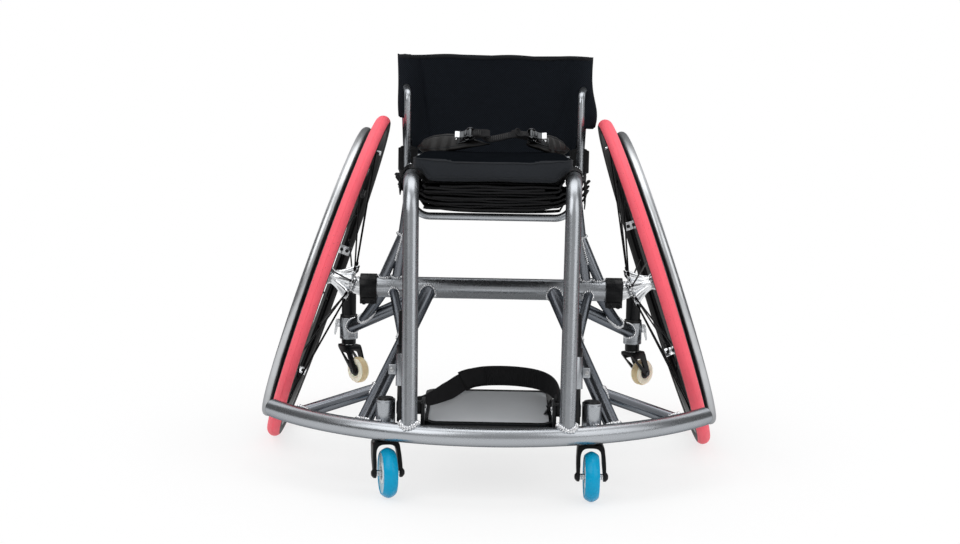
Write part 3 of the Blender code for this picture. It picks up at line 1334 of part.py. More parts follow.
def make_buckle_lever(name, side, materials):
    """The ratchet lever, hinged between the cheeks at its inboard end."""
    width = BUCKLE_WIDTH - 2 * BUCKLE_CHEEK - 4 * GAP
    thick = BUCKLE_LEVER_THICKNESS
    pivot = Vector((BUCKLE_LENGTH * 0.36, 0, BUCKLE_HEIGHT - 0.0035))
    outline = []
    for i in range(7):
        turn = math.radians(-90 + 30 * i)
        outline.append((thick / 2 * math.cos(turn), thick / 2 * math.sin(turn)))
    outline += [(-BUCKLE_LEVER + 0.003, thick / 2 + 0.001), (-BUCKLE_LEVER, thick / 2 + 0.003)]
    outline += [(-BUCKLE_LEVER + 0.001, -thick / 2 + 0.002), (-BUCKLE_LEVER + 0.006, -thick / 2)]
    turn = Matrix(((1, 0, 0, 0), (0, 0, -1, 0), (0, 1, 0, 0), (0, 0, 0, 1)))
    place = buckle_place(name, side) @ place_at(pivot, turn)
    add_object(f"buckle_lever_{name}", prism(outline, -width / 2, width / 2), materials["silver"], place)


def main():
    clear_scene()
    materials = make_materials()
    bumper = make_bumper(materials)
    camber_tube = make_camber_tube(materials)
    front_cutters = []
    for name, side in SIDES:
        front_cutter = make_front_tube(name, side, materials, bumper)
        front_cutters.append(front_cutter)
        side_cutter = make_lower_tubes(name, side, materials, bumper, camber_tube)
        make_uprights(name, side, materials, camber_tube, front_cutter)
        make_camber_plug(name, side, materials)
        make_camber_clamp(name, side, materials)
        make_caster_housing(name, side, materials, bumper, side_cutter)
        make_caster(name, side, materials)
        make_tyre(name, side, materials)
        make_rim(name, side, materials)
        make_handrim(name, side, materials)
        make_hub(name, side, materials)
        make_axle(name, side, materials)
        make_tip_arm(name, side, materials, camber_tube)
        make_tip_lever(name, side, materials)
        make_tip_stem(name, side, materials)
        make_tip_caster(name, side, materials)
        make_footrest_sleeve(name, side, materials, front_cutter)
        make_belt(name, side, materials)
        make_buckle_lever(name, side, materials)
    make_seat_cross(materials, front_cutters)
    make_footrest(materials)
    make_foot_strap(materials)
    make_cushion(materials)
    make_seat_sling(materials)
    stay_cutters = make_back_frame(materials, front_cutters)
    make_back_sling(materials, stay_cutters, front_cutters)
    for thing in bpy.data.objects:
        thing.location.y -= MIDDLE_Y


main()
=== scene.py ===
"""The looks of a court sports wheelchair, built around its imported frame.

Metres, +Z up. The chair faces -Y, and left is the sitter's left, +X. Shapes are made with the drive
wheels' axles at Y 0, and add_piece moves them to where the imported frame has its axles.
"""

import json
import random
from math import acos, asin, atan2, ceil, copysign, cos, exp, pi, radians, sin, sqrt, tan

import bmesh
import bpy
from mathutils import Matrix, Vector, noise
from mathutils.bvhtree import BVHTree


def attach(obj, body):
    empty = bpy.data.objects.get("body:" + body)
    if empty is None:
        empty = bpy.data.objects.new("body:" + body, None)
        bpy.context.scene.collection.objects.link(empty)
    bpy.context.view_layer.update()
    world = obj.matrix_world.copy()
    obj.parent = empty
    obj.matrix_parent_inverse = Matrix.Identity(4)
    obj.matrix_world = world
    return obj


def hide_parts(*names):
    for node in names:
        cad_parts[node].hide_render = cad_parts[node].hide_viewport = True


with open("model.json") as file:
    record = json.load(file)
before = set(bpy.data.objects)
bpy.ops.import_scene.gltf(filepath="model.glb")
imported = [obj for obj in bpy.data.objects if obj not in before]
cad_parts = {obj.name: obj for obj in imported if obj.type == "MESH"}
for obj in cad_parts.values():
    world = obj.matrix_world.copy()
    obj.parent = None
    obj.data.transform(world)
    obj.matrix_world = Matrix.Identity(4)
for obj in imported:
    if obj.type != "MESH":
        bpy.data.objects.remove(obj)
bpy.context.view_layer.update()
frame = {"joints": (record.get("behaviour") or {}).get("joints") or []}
JOINTS = {joint["name"]: joint for joint in frame["joints"]}
AXLE_Y = JOINTS["drive_wheel_left_spin"]["pos_m"][1]
SIDES = (("left", 1), ("right", -1))
UP = Vector((0, 0, 1))

# Fineness
TUBE_SIDES = 40
BAR_SIDES = 24
WHEEL_STEPS = 180
BEND_STEP = radians(4)
# The gap between parts that fit into each other
PLAY = 0.0003

# Weld beads: the rays that seek the joint, the widest gap between two hits of one bead, and the least
# share of the rays that a bead needs, then the spacing of the bead's points and a ripple's length
WELD_RAYS = 72
WELD_JUMP = 0.007
WELD_LEAST = 0.12
WELD_STEP = 0.0006
WELD_RIPPLE = 0.0036

# Drive wheels
WHEEL_RADIUS = 0.305
TYRE_SECTION = 0.025
TREAD_HALF_ANGLE = radians(66)
RIM_OUTER_RADIUS = WHEEL_RADIUS - TYRE_SECTION + 0.0032
RIM_DEPTH = 0.024
RIM_WIDTH = 0.019
RIM_WALL = 0.011
CAMBER = radians(18.6)
HUB_SPACING = 0.5844
HANDRIM_RADIUS = WHEEL_RADIUS - 0.039
HANDRIM_TUBE = 0.019
HANDRIM_OFFSET = 0.0225
HANDRIM_CLIPS = 6
CLIP_TURN = {"left": radians(47.5), "right": radians(27)}
CLIP_WIDTH = 0.018
CLIP_THICKNESS = 0.003
HUB_INBOARD = 0.046
HUB_OUTBOARD = 0.036
FLANGE_INBOARD = 0.040
FLANGE_OUTBOARD = 0.029
PRONG_RADIUS = 0.036
SPOKES_PER_FLANGE = 9
SPOKE_DIAMETER = 0.003
SPOKE_LEAN = radians(4)
HUB_TURN = {"left": radians(15), "right": radians(6)}
AXLE_DIAMETER = 0.0127
AXLE_HEAD_DIAMETER = 0.022
AXLE_BUTTON_DIAMETER = 0.0095

# Camber tube, plugs and clamps
CAMBER_TUBE = 0.0381
PLUG_SLEEVE = 0.012
PLUG_SLEEVE_DIAMETER = 0.032
PLUG_DIAMETER = 0.0335
CLAMP_WIDTH = 0.030
CLAMP_WALL = 0.0045
CLAMP_DROP = 0.030
CLAMP_LUG = 0.013

# Bumper, front tubes and lower frame
BUMPER_TUBE = 0.030
BUMPER_Z = 0.108
BUMPER_FRONT = -0.462
BUMPER_RADIUS = 0.4505
BUMPER_HALF_ANGLE = radians(52.5)
FRONT_TUBE = 0.0254
FRONT_FOOT_X = 0.1235
KNEE = Vector((0.1285, -0.375, 0.498))
KNEE_RADIUS = 0.060
SEAT_REAR = Vector((0.150, 0.108, 0.475))
SEAT_CROSS_TUBE = 0.012
SEAT_CROSS_Y = -0.300
SEAT_CROSS_X = 0.131
SEAT_CROSS_Z = 0.4348
SEAT_CROSS_BEND = 0.030
SIDE_TUBE = 0.0254
SIDE_TOP_X = 0.110
SIDE_FOOT_X = 0.2015
STRUT_TUBE = 0.016
STRUT_TOP_X = 0.178
STRUT_AT = 0.42
BRACE_TUBE = 0.022
BRACE_AT = 0.744
BRACE_INSET = 0.0414
UPRIGHT_TUBE = 0.018
UPRIGHT_FOOT_X = 0.173
SEAT_BRACE_FOOT_X = 0.2025
SEAT_BRACE_AT = 0.46

# Front casters
CASTER_STEM = Vector((0.1635, -0.403, 0))
CASTER_HOUSING = 0.031
CASTER_HOUSING_TOP = 0.1535
CASTER_HOUSING_FOOT = 0.0925
CASTER_WHEEL = 0.080
CASTER_WIDTH = 0.023
CASTER_TRAIL = 0.027
CASTER_LEG_SPREAD = 0.0205
CASTER_LEG_THICKNESS = 0.0058
CASTER_LEG_DEPTH = 0.016
CASTER_LEG_FOOT = 0.0048
CASTER_CROWN_EXTRA = 0.013
CASTER_CROWN_Z = 0.0875
CASTER_SPACER = 0.0098
CASTER_TURN = {"left": radians(1), "right": radians(13)}

# Anti-tip casters
TIP_X = 0.277
TIP_Y = 0.230
TIP_HOUSING = 0.035
TIP_HOUSING_TOP = 0.1745
TIP_HOUSING_FOOT = 0.1325
TIP_STEM = 0.028
TIP_STEM_TOP = 0.242
TIP_STEM_FOOT = 0.1225
TIP_WHEEL = 0.050
TIP_WHEEL_WIDTH = 0.020
TIP_TRAIL = 0.032
TIP_DROP = 0.046
TIP_FORK_WALL = 0.004
TIP_TURN = {"left": radians(45), "right": radians(-49)}
TIP_LOWER = {"left": 0.004, "right": 0.0}
TIP_ARM = 0.0254
TIP_ARM_X = 0.122
TIP_ARM_DROP = 0.013
TIP_STRUT = 0.019
TIP_STRUT_X = 0.189
TIP_STRUT_AT = 0.19
LEVER_REACH = 0.0065
LEVER_RISE = 0.030
LEVER_LENGTH = 0.024
LEVER_WIDTH = 0.010

# Footrest
HANGER_X = 0.134
HANGER_TUBE = 0.022
HANGER_FOOT_Z = 0.120
HANGER_TOP_Z = 0.294
SLEEVE_WALL = 0.0025
SLEEVE_FOOT_Z = 0.176
SLEEVE_TOP_Z = 0.226
COLLAR_HEIGHT = 0.014
BRACKET_Z = 0.132
BRACKET_HEIGHT = 0.020
PLATE_FRONT_Y = -0.405
PLATE_REAR_Y = -0.195
PLATE_HALF_WIDTH = 0.107
PLATE_CORNER = 0.020
PLATE_FRONT_Z = 0.108
PLATE_TILT = radians(2.6)
FOOT_STRAP_X = 0.114
FOOT_STRAP_Z = 0.1436
FOOT_STRAP_WIDTH = 0.030

# Seat and back
CUSHION_HALF_WIDTH = 0.134
CUSHION_FRONT_Y = -0.333
CUSHION_REAR_Y = 0.045
CUSHION_THICKNESS = 0.036
CUSHION_SAG = 0.008
CUSHION_SEAT_Z = 0.4965
CUSHION_CROWN = 0.005
CUSHION_SINK = 0.002
CUSHION_CORNER = 0.016
# The cover starts this much smaller, and swells by no more than the second value
COVER_INSET = 0.0022
COVER_SWELL = 0.0034
# Faces whose normal's Z is above this belong to the cushion's top
TOP_FACING = 0.72
SEAM_CORD = 0.0024
CLOTH_VOXEL = 0.005
CLOTH_PRESSURE = 4.0
CLOTH_FRAMES = 20
SLING_DROP = 0.049
CANE_FOOT_X = 0.1555
CANE_TOP_X = 0.1645
CANE_Y = 0.085
CANE_TUBE = 0.019
CANE_TOP = 0.676
BACK_BAR = 0.014
BACK_BAR_Z = 0.501
STAY_X = 0.1547
STAY_Y = 0.005
STAY_TUBE = 0.012
STAY_BEND_Z = CANE_TOP - 0.055
STAY_RISE = 0.009
STAY_BEND = 0.018
BACK_TOP = CANE_TOP + 0.012
BACK_FOOT = 0.5125
BACK_SAG = 0.036
BAND_FOOT = 0.4725
BAND_TOP = 0.5205
BUCKLE_X = {"left": 0.080, "right": 0.056}
BUCKLE_Y = -0.100
BUCKLE_Z = 0.552
BUCKLE_LENGTH = 0.042
BUCKLE_WIDTH = 0.023
BUCKLE_HEIGHT = 0.012
BUCKLE_TILT = radians(40)
BUCKLE_LIFT = radians(24)
LEVER_PIVOT = Vector((BUCKLE_LENGTH * 0.36, 0, BUCKLE_HEIGHT - 0.0035))
RATCHET_TEETH = 11
PAD_LIFT = 0.0165
PAD_WIDTH = 0.041
PAD_THICKNESS = 0.0124
PAD_LEAN = Vector((0, 0.70, 0.71))
STITCH_REACH = 0.0150
STITCH = 0.0012
PAD_REACH = {"left": 0.024, "right": 0.050}
POCKET_FOOT = {"left": 0.560, "right": 0.5745}
POCKET_SPREAD = {"left": 0.0150, "right": 0.0030}
POCKET_WALL = 0.0016
POCKET_INNER = CANE_TUBE / 2 + 0.0004
BACK_THICKNESS = 0.0026
BACK_CLEAR = 0.0034
BACK_WRAP = 1.09
# Each crease's side, its distance from the cane at the top and how far that grows downwards, its
# depth and its width
BACK_FOLDS = (
    (-1, 0.021, 0.018, 0.0050, 0.0050),
    (-1, 0.032, 0.018, -0.0030, 0.0060),
    (1, 0.004, 0.050, 0.0035, 0.0065),
)
# Each layer's foot and top, its thickness and its gap to the cane's sleeve
BAND_LAYERS = (
    (BAND_FOOT, BAND_TOP, 0.0050, 0.0003),
    (BAND_FOOT + 0.004, BAND_TOP - 0.003, 0.0026, 0.0055),
)
SLING_WEB = 0.0018
# The radius of a strap's middle round its rail
STRAP_TURN = FRONT_TUBE / 2 + SLING_WEB / 2 + 0.0002
SEAT_STRAPS = 6
LOW_STRAPS = 2
# How far the loose ends of the front straps hang below the rail, and how far they stand off it
TAIL_DROP = {"left": (0.043, 0.036, 0.026), "right": (0.020, 0.015)}
TAIL_OUT = {"left": 0.0024, "right": 0.0010}

# Sizes worked out from the ones above
TYRE_CENTRE_RADIUS = WHEEL_RADIUS - TYRE_SECTION / 2
HUB_X = HUB_SPACING / 2
HUB_Z = TYRE_CENTRE_RADIUS * cos(CAMBER) + TYRE_SECTION / 2
TUBE_END = HUB_INBOARD + 0.0005 + PLUG_SLEEVE
TUBE_END_X = HUB_X - TUBE_END * cos(CAMBER)
CAMBER_TUBE_Z = HUB_Z - TUBE_END * sin(CAMBER)
BUMPER_CENTRE_Y = BUMPER_FRONT + BUMPER_RADIUS


# Camera: a pinhole fitted to the wheels, the casters and the tubes of the chair
IMAGE_WIDTH = 960
FOCAL_PIXELS = 1704.15
SENSOR = 36.0
CAMERA_PLACE = Vector((0.0046, -3.0475, 0.7418))
CAMERA_PITCH = radians(8.229)
CAMERA_YAW = radians(-0.476)
CAMERA_ROLL = radians(0.984)


def make_camera():
    data = bpy.data.cameras.new("camera")
    data.sensor_width = SENSOR
    data.lens = FOCAL_PIXELS * SENSOR / IMAGE_WIDTH
    camera = link("camera", data)
    bpy.context.scene.camera = camera
    forward = Vector((
        sin(CAMERA_YAW) * cos(CAMERA_PITCH), cos(CAMERA_YAW) * cos(CAMERA_PITCH),
        -sin(CAMERA_PITCH)))
    level = Vector((cos(CAMERA_YAW), -sin(CAMERA_YAW), 0))
    upright = level.cross(forward)
    right = level * cos(CAMERA_ROLL) + upright * sin(CAMERA_ROLL)
    up = upright * cos(CAMERA_ROLL) - level * sin(CAMERA_ROLL)
    turn = Matrix((right, up, -forward)).transposed().to_4x4()
    camera.matrix_world = Matrix.Translation(CAMERA_PLACE + Vector((0, AXLE_Y, 0))) @ turn


class Tree:
    """Short ways to add nodes to a node tree."""

    def __init__(self, tree):
        self.tree = tree

    def put(self, socket, value):
        if isinstance(value, bpy.types.NodeSocket):
            self.tree.links.new(value, socket)
        elif socket.type == "RGBA" and len(value) == 3:
            socket.default_value = (*value, 1)
        else:
            socket.default_value = value

    def make(self, kind, inputs=None, **settings):
        node = self.tree.nodes.new("ShaderNode" + kind)
        for key, value in settings.items():
            setattr(node, key, value)
        for key, value in (inputs or {}).items():
            self.put(node.inputs[key], value)
        return node

    def add(self, kind, inputs, output=0, **settings):
        node = self.make(kind, inputs, **settings)
        return node if output is None else node.outputs[output]

    def maths(self, operation, *values):
        return self.add("Math", dict(enumerate(values)), operation=operation)

    def ramp(self, value, start, end, low, high):
        """Maps start to end of the value onto low to high, softly at both ends."""
        return self.add("MapRange", {
            "Value": value, "From Min": start, "From Max": end, "To Min": low, "To Max": high},
            interpolation_type="SMOOTHSTEP")


class Nodes(Tree):
    """A material and short ways to add nodes to it."""

    def __init__(self, name, **shader):
        self.made = bpy.data.materials.new(name)
        self.made.use_nodes = True
        super().__init__(self.made.node_tree)
        self.shader = self.tree.nodes["Principled BSDF"]
        for key, value in shader.items():
            self.set(key.replace("_", " "), value)

    def place(self, scale=(1, 1, 1), turn=(0, 0, 0)):
        """The object's own coordinates, turned and then scaled."""
        where = self.add("TexCoord", {}, "Object")
        where = self.add("Mapping", {"Vector": where, "Rotation": turn})
        return self.add("Mapping", {"Vector": where, "Scale": scale})

    def noise(self, scale, detail, where=None):
        return self.add("TexNoise", {"Vector": where or self.place(), "Scale": scale, "Detail": detail})

    def spread(self, value, low, high, start=0.3, end=0.7):
        """Maps start to end of the value onto low to high."""
        return self.add("MapRange", {
            "Value": value, "From Min": start, "From Max": end, "To Min": low, "To Max": high})

    def mix(self, share, first, second):
        return self.add("Mix", {0: share, 6: first, 7: second}, 2, data_type="RGBA")

    def bump(self, height, depth):
        made = self.add("Bump", {"Height": height, "Distance": depth})
        previous = self.shader.inputs["Normal"]
        if previous.is_linked:
            self.put(made.node.inputs["Normal"], previous.links[0].from_socket)
        self.put(previous, made)

    def set(self, name, value):
        self.put(self.shader.inputs[name], value)


def painted_metal(
        name, colour, dark, metallic, rough, edge=(1, 1, 1), coat=0.0, level=0.5, grain=(1, 1, 1)):
    """Metallic paint or anodising: faintly cloudy colour, with fine marks stretched by the grain."""
    n = Nodes(
        name, Metallic=metallic, Specular_Tint=edge, Coat_Weight=coat, Coat_Roughness=0.12,
        Specular_IOR_Level=level)
    cloud = n.spread(n.noise(9, 3), 0, 1)
    n.set("Base Color", n.mix(cloud, colour, dark))
    smear = n.noise(60, 4, n.place(grain))
    n.set("Roughness", n.spread(smear, rough - 0.01, rough + 0.02))
    n.bump(n.noise(500, 1, n.place(grain)), 0.0000012)
    return n.made


def bare_metal(name, colour, rough, edge=(1, 1, 1), depth=0.000004):
    """Machined or polished metal, a little stained, with fine marks."""
    n = Nodes(name, Metallic=1.0, Specular_Tint=edge)
    marks = n.noise(240, 3)
    stain = n.spread(n.noise(25, 4), 0, 1)
    n.set("Base Color", n.mix(stain, colour, tuple(c * 0.9 for c in colour)))
    n.set("Roughness", n.spread(marks, max(rough - 0.03, 0.03), rough + 0.03))
    if depth:
        n.bump(marks, depth)
    return n.made


def moulded(name, colour, rough, speck=None, depth=0.00008, soft=0.0, level=0.5, cloud=0.9):
    """Rubber, polyurethane or plastic, with a fine moulded grain."""
    n = Nodes(name, Subsurface_Weight=soft, Subsurface_Scale=0.004, Specular_IOR_Level=level)
    shade = n.spread(n.noise(35, 4), 0, 1)
    base = n.mix(shade, colour, tuple(c * cloud for c in colour))
    if speck:
        spots = n.spread(n.noise(420, 1), 0, 1, 0.71, 0.74)
        base = n.mix(spots, base, speck)
    n.set("Base Color", base)
    n.set("Roughness", n.spread(n.noise(90, 4), rough - 0.05, rough + 0.08))
    n.bump(n.noise(700, 3), depth)
    return n.made


def woven(name, colour, thread, pitch, sheen, turn=(0, 0, 0), depth=0.0004, rough=0.8, level=0.3):
    """Cloth whose threads cross in the local X-Z and Y-Z planes."""
    n = Nodes(name, Sheen_Weight=sheen, Sheen_Roughness=0.5, Roughness=rough, Specular_IOR_Level=level)
    where = n.place((1, 1, 1), turn)
    wave = {"Vector": where, "Scale": 1 / pitch / 2, "Distortion": 0.6}
    across, along = (n.add("TexWave", wave, 1, bands_direction=axis) for axis in "XZ")
    cross = n.maths("MULTIPLY", across, along)
    shade = n.spread(n.noise(9, 4), 0, 0.7)
    ground = n.mix(shade, colour, tuple(c * 0.6 for c in colour))
    n.set("Base Color", n.mix(cross, ground, thread))
    n.bump(cross, depth)
    n.bump(n.noise(220, 4), 0.0002)
    return n.made


def make_materials():
    frame_colour, frame_dark = (0.42, 0.44, 0.465), (0.39, 0.408, 0.433)
    return {
        "frame": painted_metal("frame_paint", frame_colour, frame_dark, 0.95, 0.27, (0.26, 0.27, 0.29), 0.1),
        # A darker copy of the frame paint for the side tubes, struts and braces: painted shade, as these
        # tubes sit in shade under the seat.
        "frame_deep": painted_metal(
            "frame_paint_painted_shade", (0.22, 0.235, 0.26), (0.20, 0.213, 0.236), 0.95, 0.25, (0.16, 0.17, 0.185),
            0.1),
        # The weld beads are painted like the frame; their bright bare-metal colour is a painted glint on
        # their ripples.
        "weld": bare_metal("weld_metal", (0.76, 0.77, 0.79), 0.14, depth=0.00010),
        "black_metal": painted_metal(
            "black_anodised", (0.0045, 0.0050, 0.0060), (0.0030, 0.0034, 0.0042), 0.0, 0.30, level=0.22),
        "rim": painted_metal(
            "rim_black", (0.0030, 0.0030, 0.0034), (0.0020, 0.0020, 0.0022), 0.0, 0.24, level=0.06),
        "silver": bare_metal("polished_metal", (0.80, 0.815, 0.835), 0.17),
        "handrim": bare_metal("handrim_metal", (0.62, 0.635, 0.65), 0.33, (0.45, 0.45, 0.46), 0),
        "steel": bare_metal("bearing_steel", (0.55, 0.56, 0.57), 0.22),
        "tread": moulded("tread_rubber", (0.97, 0.118, 0.163), 0.60, (0.62, 0.06, 0.09), 0.0001, cloud=0.96),
        "sidewall": moulded("sidewall_rubber", (0.006, 0.006, 0.0065), 0.5, level=0.25),
        "plastic": moulded("black_plastic", (0.006, 0.006, 0.0068), 0.34, level=0.3),
        "caster": moulded(
            "blue_polyurethane", (0.0010, 0.335, 0.580), 0.24, None, 0.00003, level=0.2, cloud=0.97),
        "core": moulded("pale_core", (0.43, 0.62, 0.70), 0.32, None, 0.00003, cloud=0.97),
        "core_ring": moulded("white_core", (0.78, 0.82, 0.84), 0.30, None, 0.00003, cloud=0.97),
        "cream": moulded("cream_polyurethane", (0.99, 0.95, 0.76), 0.33, None, 0.00004, 0.05, cloud=0.95),
        "tan": moulded("tan_polyurethane", (0.72, 0.57, 0.33), 0.38, None, 0.00004, 0.05, cloud=0.92),
        "mesh": woven(
            "back_mesh", (0.0004, 0.0007, 0.0013), (0.030, 0.039, 0.054), 0.0037, sheen=0.0,
            turn=(0, radians(45), 0), rough=0.9, level=0.12),
        "seam": woven(
            "seam_cord", (0.010, 0.012, 0.015), (0.018, 0.021, 0.026), 0.0010, depth=0.0001, sheen=0.05),
        "binding": woven(
            "edge_binding", (0.0045, 0.0055, 0.0075), (0.011, 0.013, 0.017), 0.0010, depth=0.0001,
            sheen=0.02),
        "dark_steel": bare_metal("dark_steel", (0.075, 0.078, 0.082), 0.24),
        "cushion": woven(
            "cushion_cloth", (0.013, 0.0155, 0.020), (0.020, 0.0235, 0.029), 0.0011, depth=0.0002,
            sheen=0.03),
        "cushion_top": woven(
            "cushion_top_cloth", (0.0042, 0.0051, 0.0066), (0.0080, 0.0096, 0.0122), 0.0011, depth=0.0002,
            sheen=0.0, level=0.0),
        "webbing": woven("black_webbing", (0.005, 0.005, 0.006), (0.012, 0.012, 0.014), 0.0012, sheen=0.02),
        "pad": moulded("belt_leather", (0.0030, 0.0025, 0.0024), 0.36, None, 0.0003, level=0.26),
        "plate_edge": painted_metal(
            "tray_black", (0.0050, 0.0056, 0.0066), (0.0035, 0.0040, 0.0048), 0.0, 0.16, level=0.32),
        "plate": painted_metal(
            "plate_grey", (0.60, 0.62, 0.64), (0.56, 0.58, 0.60), 0.3, 0.42, level=0.4, grain=(0.06, 1.4, 1)),
    }


SLOTS = {
    "frame": "frame", "frame_deep": "frame", "weld": "frame", "black_metal": "black_metal", "rim": "rim",
    "silver": "silver", "handrim": "handrim", "steel": "silver", "tread": "tyre", "sidewall": "tyre",
    "plastic": "black_metal", "caster": "caster_wheel", "core": "caster_wheel", "core_ring": "caster_wheel",
    "cream": "tip_wheel", "tan": "tip_wheel", "mesh": "back_fabric", "cushion": "cushion", "seam": "cushion",
    "binding": "back_fabric", "dark_steel": "silver", "webbing": "webbing", "pad": "webbing",
    "plate": "plate", "plate_edge": "black_metal",
}
MATERIALS = make_materials()


def link(name, data):
    """A new object in the scene that shows the data."""
    made = bpy.data.objects.new(name, data)
    bpy.context.scene.collection.objects.link(made)
    return made


def as_mesh(name, shape):
    """The bmesh turned into a mesh. The bmesh is freed."""
    mesh = bpy.data.meshes.new(name)
    shape.to_mesh(mesh)
    shape.free()
    return mesh


def add_piece(name, shape, material, body, replaces=(), place=None, sharp=35, slot=None):
    """Makes an object of the bmesh, which rides on a body and stands for the nodes it replaces."""
    bmesh.ops.recalc_face_normals(shape, faces=shape.faces)
    if place is not None:
        moved(shape, place)
    bmesh.ops.translate(shape, vec=(0, AXLE_Y, 0), verts=shape.verts)
    mesh = as_mesh(name, shape)
    mesh.shade_smooth()
    mesh.set_sharp_from_angle(angle=radians(sharp))
    names = [material] if isinstance(material, str) else material
    for each in names:
        mesh.materials.append(MATERIALS[each])
    piece = link(name, mesh)
    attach(piece, body)
    if replaces:
        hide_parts(*([replaces] if isinstance(replaces, str) else replaces))
    slot or SLOTS[names[0]]
    return piece


def adder(body, node, place=None):
    """add_piece for the pieces of one node. A name that starts with _ follows the node's name."""
    def add(name, shape, material, **more):
        full = node + name if name.startswith("_") else name
        return add_piece(full, shape, material, body, node, **{"place": place, **more})
    return add


def skin(rings, closed_loop=False):
    """Joins rings of points, all of one length, into a closed surface with capped ends."""
    edit = bmesh.new()
    rows = [[edit.verts.new(point) for point in ring] for ring in rings]
    count = len(rows[0])
    last = len(rows) if closed_loop else len(rows) - 1
    for i in range(last):
        row, following = rows[i], rows[(i + 1) % len(rows)]
        for j in range(count):
            k = (j + 1) % count
            edit.faces.new((row[j], row[k], following[k], following[j]))
    if not closed_loop:
        edit.faces.new(rows[0])
        edit.faces.new(rows[-1][::-1])
    return edit


def clamp(value):
    return min(max(value, 0), 1)


def eased(value):
    """The value held between 0 and 1, with a soft start and a soft end."""
    share = clamp(value)
    return share * share * (3 - 2 * share)


def arc(radius, start, end, steps, middle=(0, 0)):
    """Points on an arc from one angle to another, with both ends."""
    turns = (start + (end - start) * i / steps for i in range(steps + 1))
    return [(middle[0] + radius * cos(turn), middle[1] + radius * sin(turn)) for turn in turns]


def circle(radius, sides):
    return arc(radius, 0, 2 * pi, sides)[:-1]


def ring_at(radius, z, sides):
    return [Vector((x, y, z)) for x, y in circle(radius, sides)]


def rounded_box(half, low, high, corner, steps=3):
    """A rectangle's outline, from X -half to half and from Y low to high, with round corners."""
    points = []
    for x, y, start in ((half, low, -90), (half, high, 0), (-half, high, 90), (-half, low, 180)):
        middle = (x - copysign(corner, x), y + corner if y == low else y - corner)
        points += arc(corner, radians(start), radians(start + 90), steps, middle)
    return points


def both_sides(half_profile, middle=()):
    """A profile made of its upper half, from its inner to its outer end, and the half's mirror image."""
    return [(r, -h) for r, h in half_profile] + list(middle) + half_profile[::-1]


def rounded_path(corners, radius):
    """The corner points, each inner corner replaced by an arc of this radius."""
    points = [Vector(corners[0])]
    for i in range(1, len(corners) - 1):
        before, corner, after = (Vector(corners[i + n]) for n in (-1, 0, 1))
        towards, away = (before - corner).normalized(), (after - corner).normalized()
        bend = pi - towards.angle(away)
        reach = radius * tan(bend / 2)
        centre = corner + (towards + away).normalized() * radius / cos(bend / 2)
        start = corner + towards * reach - centre
        normal = start.cross(corner + away * reach - centre).normalized()
        steps = max(2, ceil(bend / BEND_STEP))
        for n in range(steps + 1):
            points.append(centre + Matrix.Rotation(bend * n / steps, 3, normal) @ start)
    points.append(Vector(corners[-1]))
    return points


def smooth_path(points, per_span):
    """A smooth curve through the points."""
    points = [Vector(p) for p in points]
    padded = [points[0] * 2 - points[1]] + points + [points[-1] * 2 - points[-2]]
    made = []
    for i in range(1, len(padded) - 2):
        a, b, c, d = padded[i - 1:i + 3]
        for n in range(per_span):
            t = n / per_span
            made.append((b * 2 + (c - a) * t + (a * 2 - b * 5 + c * 4 - d) * t ** 2
                         + (b * 3 - a - c * 3 + d) * t ** 3) / 2)
    made.append(points[-1])
    return made


def sweep(points, section, loop=False, across=None, size=None):
    """Carries an outline along the points without twisting. across is where its u axis starts."""
    points = [Vector(p) for p in points]
    count, side, rings = len(points), across, []
    for i, point in enumerate(points):
        before = points[(i - 1) % count] if loop or i else point
        after = points[(i + 1) % count] if loop or i < count - 1 else point
        along = (after - before).normalized()
        if callable(across):
            side = across(i)
        elif side is None:
            side = along.orthogonal()
        side = (side - along * side.dot(along)).normalized()
        other = along.cross(side)
        wide, thick = size(i) if size else (1, 1)
        rings.append([point + side * (u * wide) + other * (v * thick) for u, v in section])
    return skin(rings, loop)


def tube(points, diameter, sides=TUBE_SIDES):
    return sweep(points, circle(diameter / 2, sides))


def strap_section(width, thickness, across=6):
    """A flat outline with rounded edges."""
    half, thick = width / 2, thickness / 2
    top = [(half - thick) * (2 * i / across - 1) for i in range(across + 1)]
    edge = [(sin(t) * thick, cos(t) * thick) for t in (pi / 4, pi / 2, 3 * pi / 4)]
    right = [(half - thick + u, v) for u, v in edge]
    left = [(-half + thick - u, v) for u, v in reversed(edge)]
    return [(u, thick) for u in top] + right + [(u, -thick) for u in reversed(top)] + left


def even(points, step):
    """The same route with points at an even spacing."""
    lengths = [0.0]
    for first, second in zip(points, points[1:]):
        lengths.append(lengths[-1] + (second - first).length)
    count = max(2, round(lengths[-1] / step))
    made, k = [], 0
    for n in range(count + 1):
        want = lengths[-1] * n / count
        while k < len(points) - 2 and lengths[k + 1] < want:
            k += 1
        share = (want - lengths[k]) / max(lengths[k + 1] - lengths[k], 1e-9)
        made.append(points[k].lerp(points[k + 1], min(share, 1)))
    return made


def soften(profile, radius, closed=False, steps=3):
    """The outline with each corner rounded, as far as its neighbours leave room."""
    points = [Vector((*p, 0)) for p in profile]
    count = len(points)
    made = []
    for i, corner in enumerate(points):
        if not closed and i in (0, count - 1):
            made.append(corner)
            continue
        before, after = points[(i - 1) % count], points[(i + 1) % count]
        towards, away = before - corner, after - corner
        room = min(radius, towards.length * 0.45, away.length * 0.45)
        first, last = corner + towards.normalized() * room, corner + away.normalized() * room
        for n in range(steps + 1):
            t = n / steps
            made.append(first.lerp(corner, t).lerp(corner.lerp(last, t), t))
    return [(p.x, p.y) for p in made]


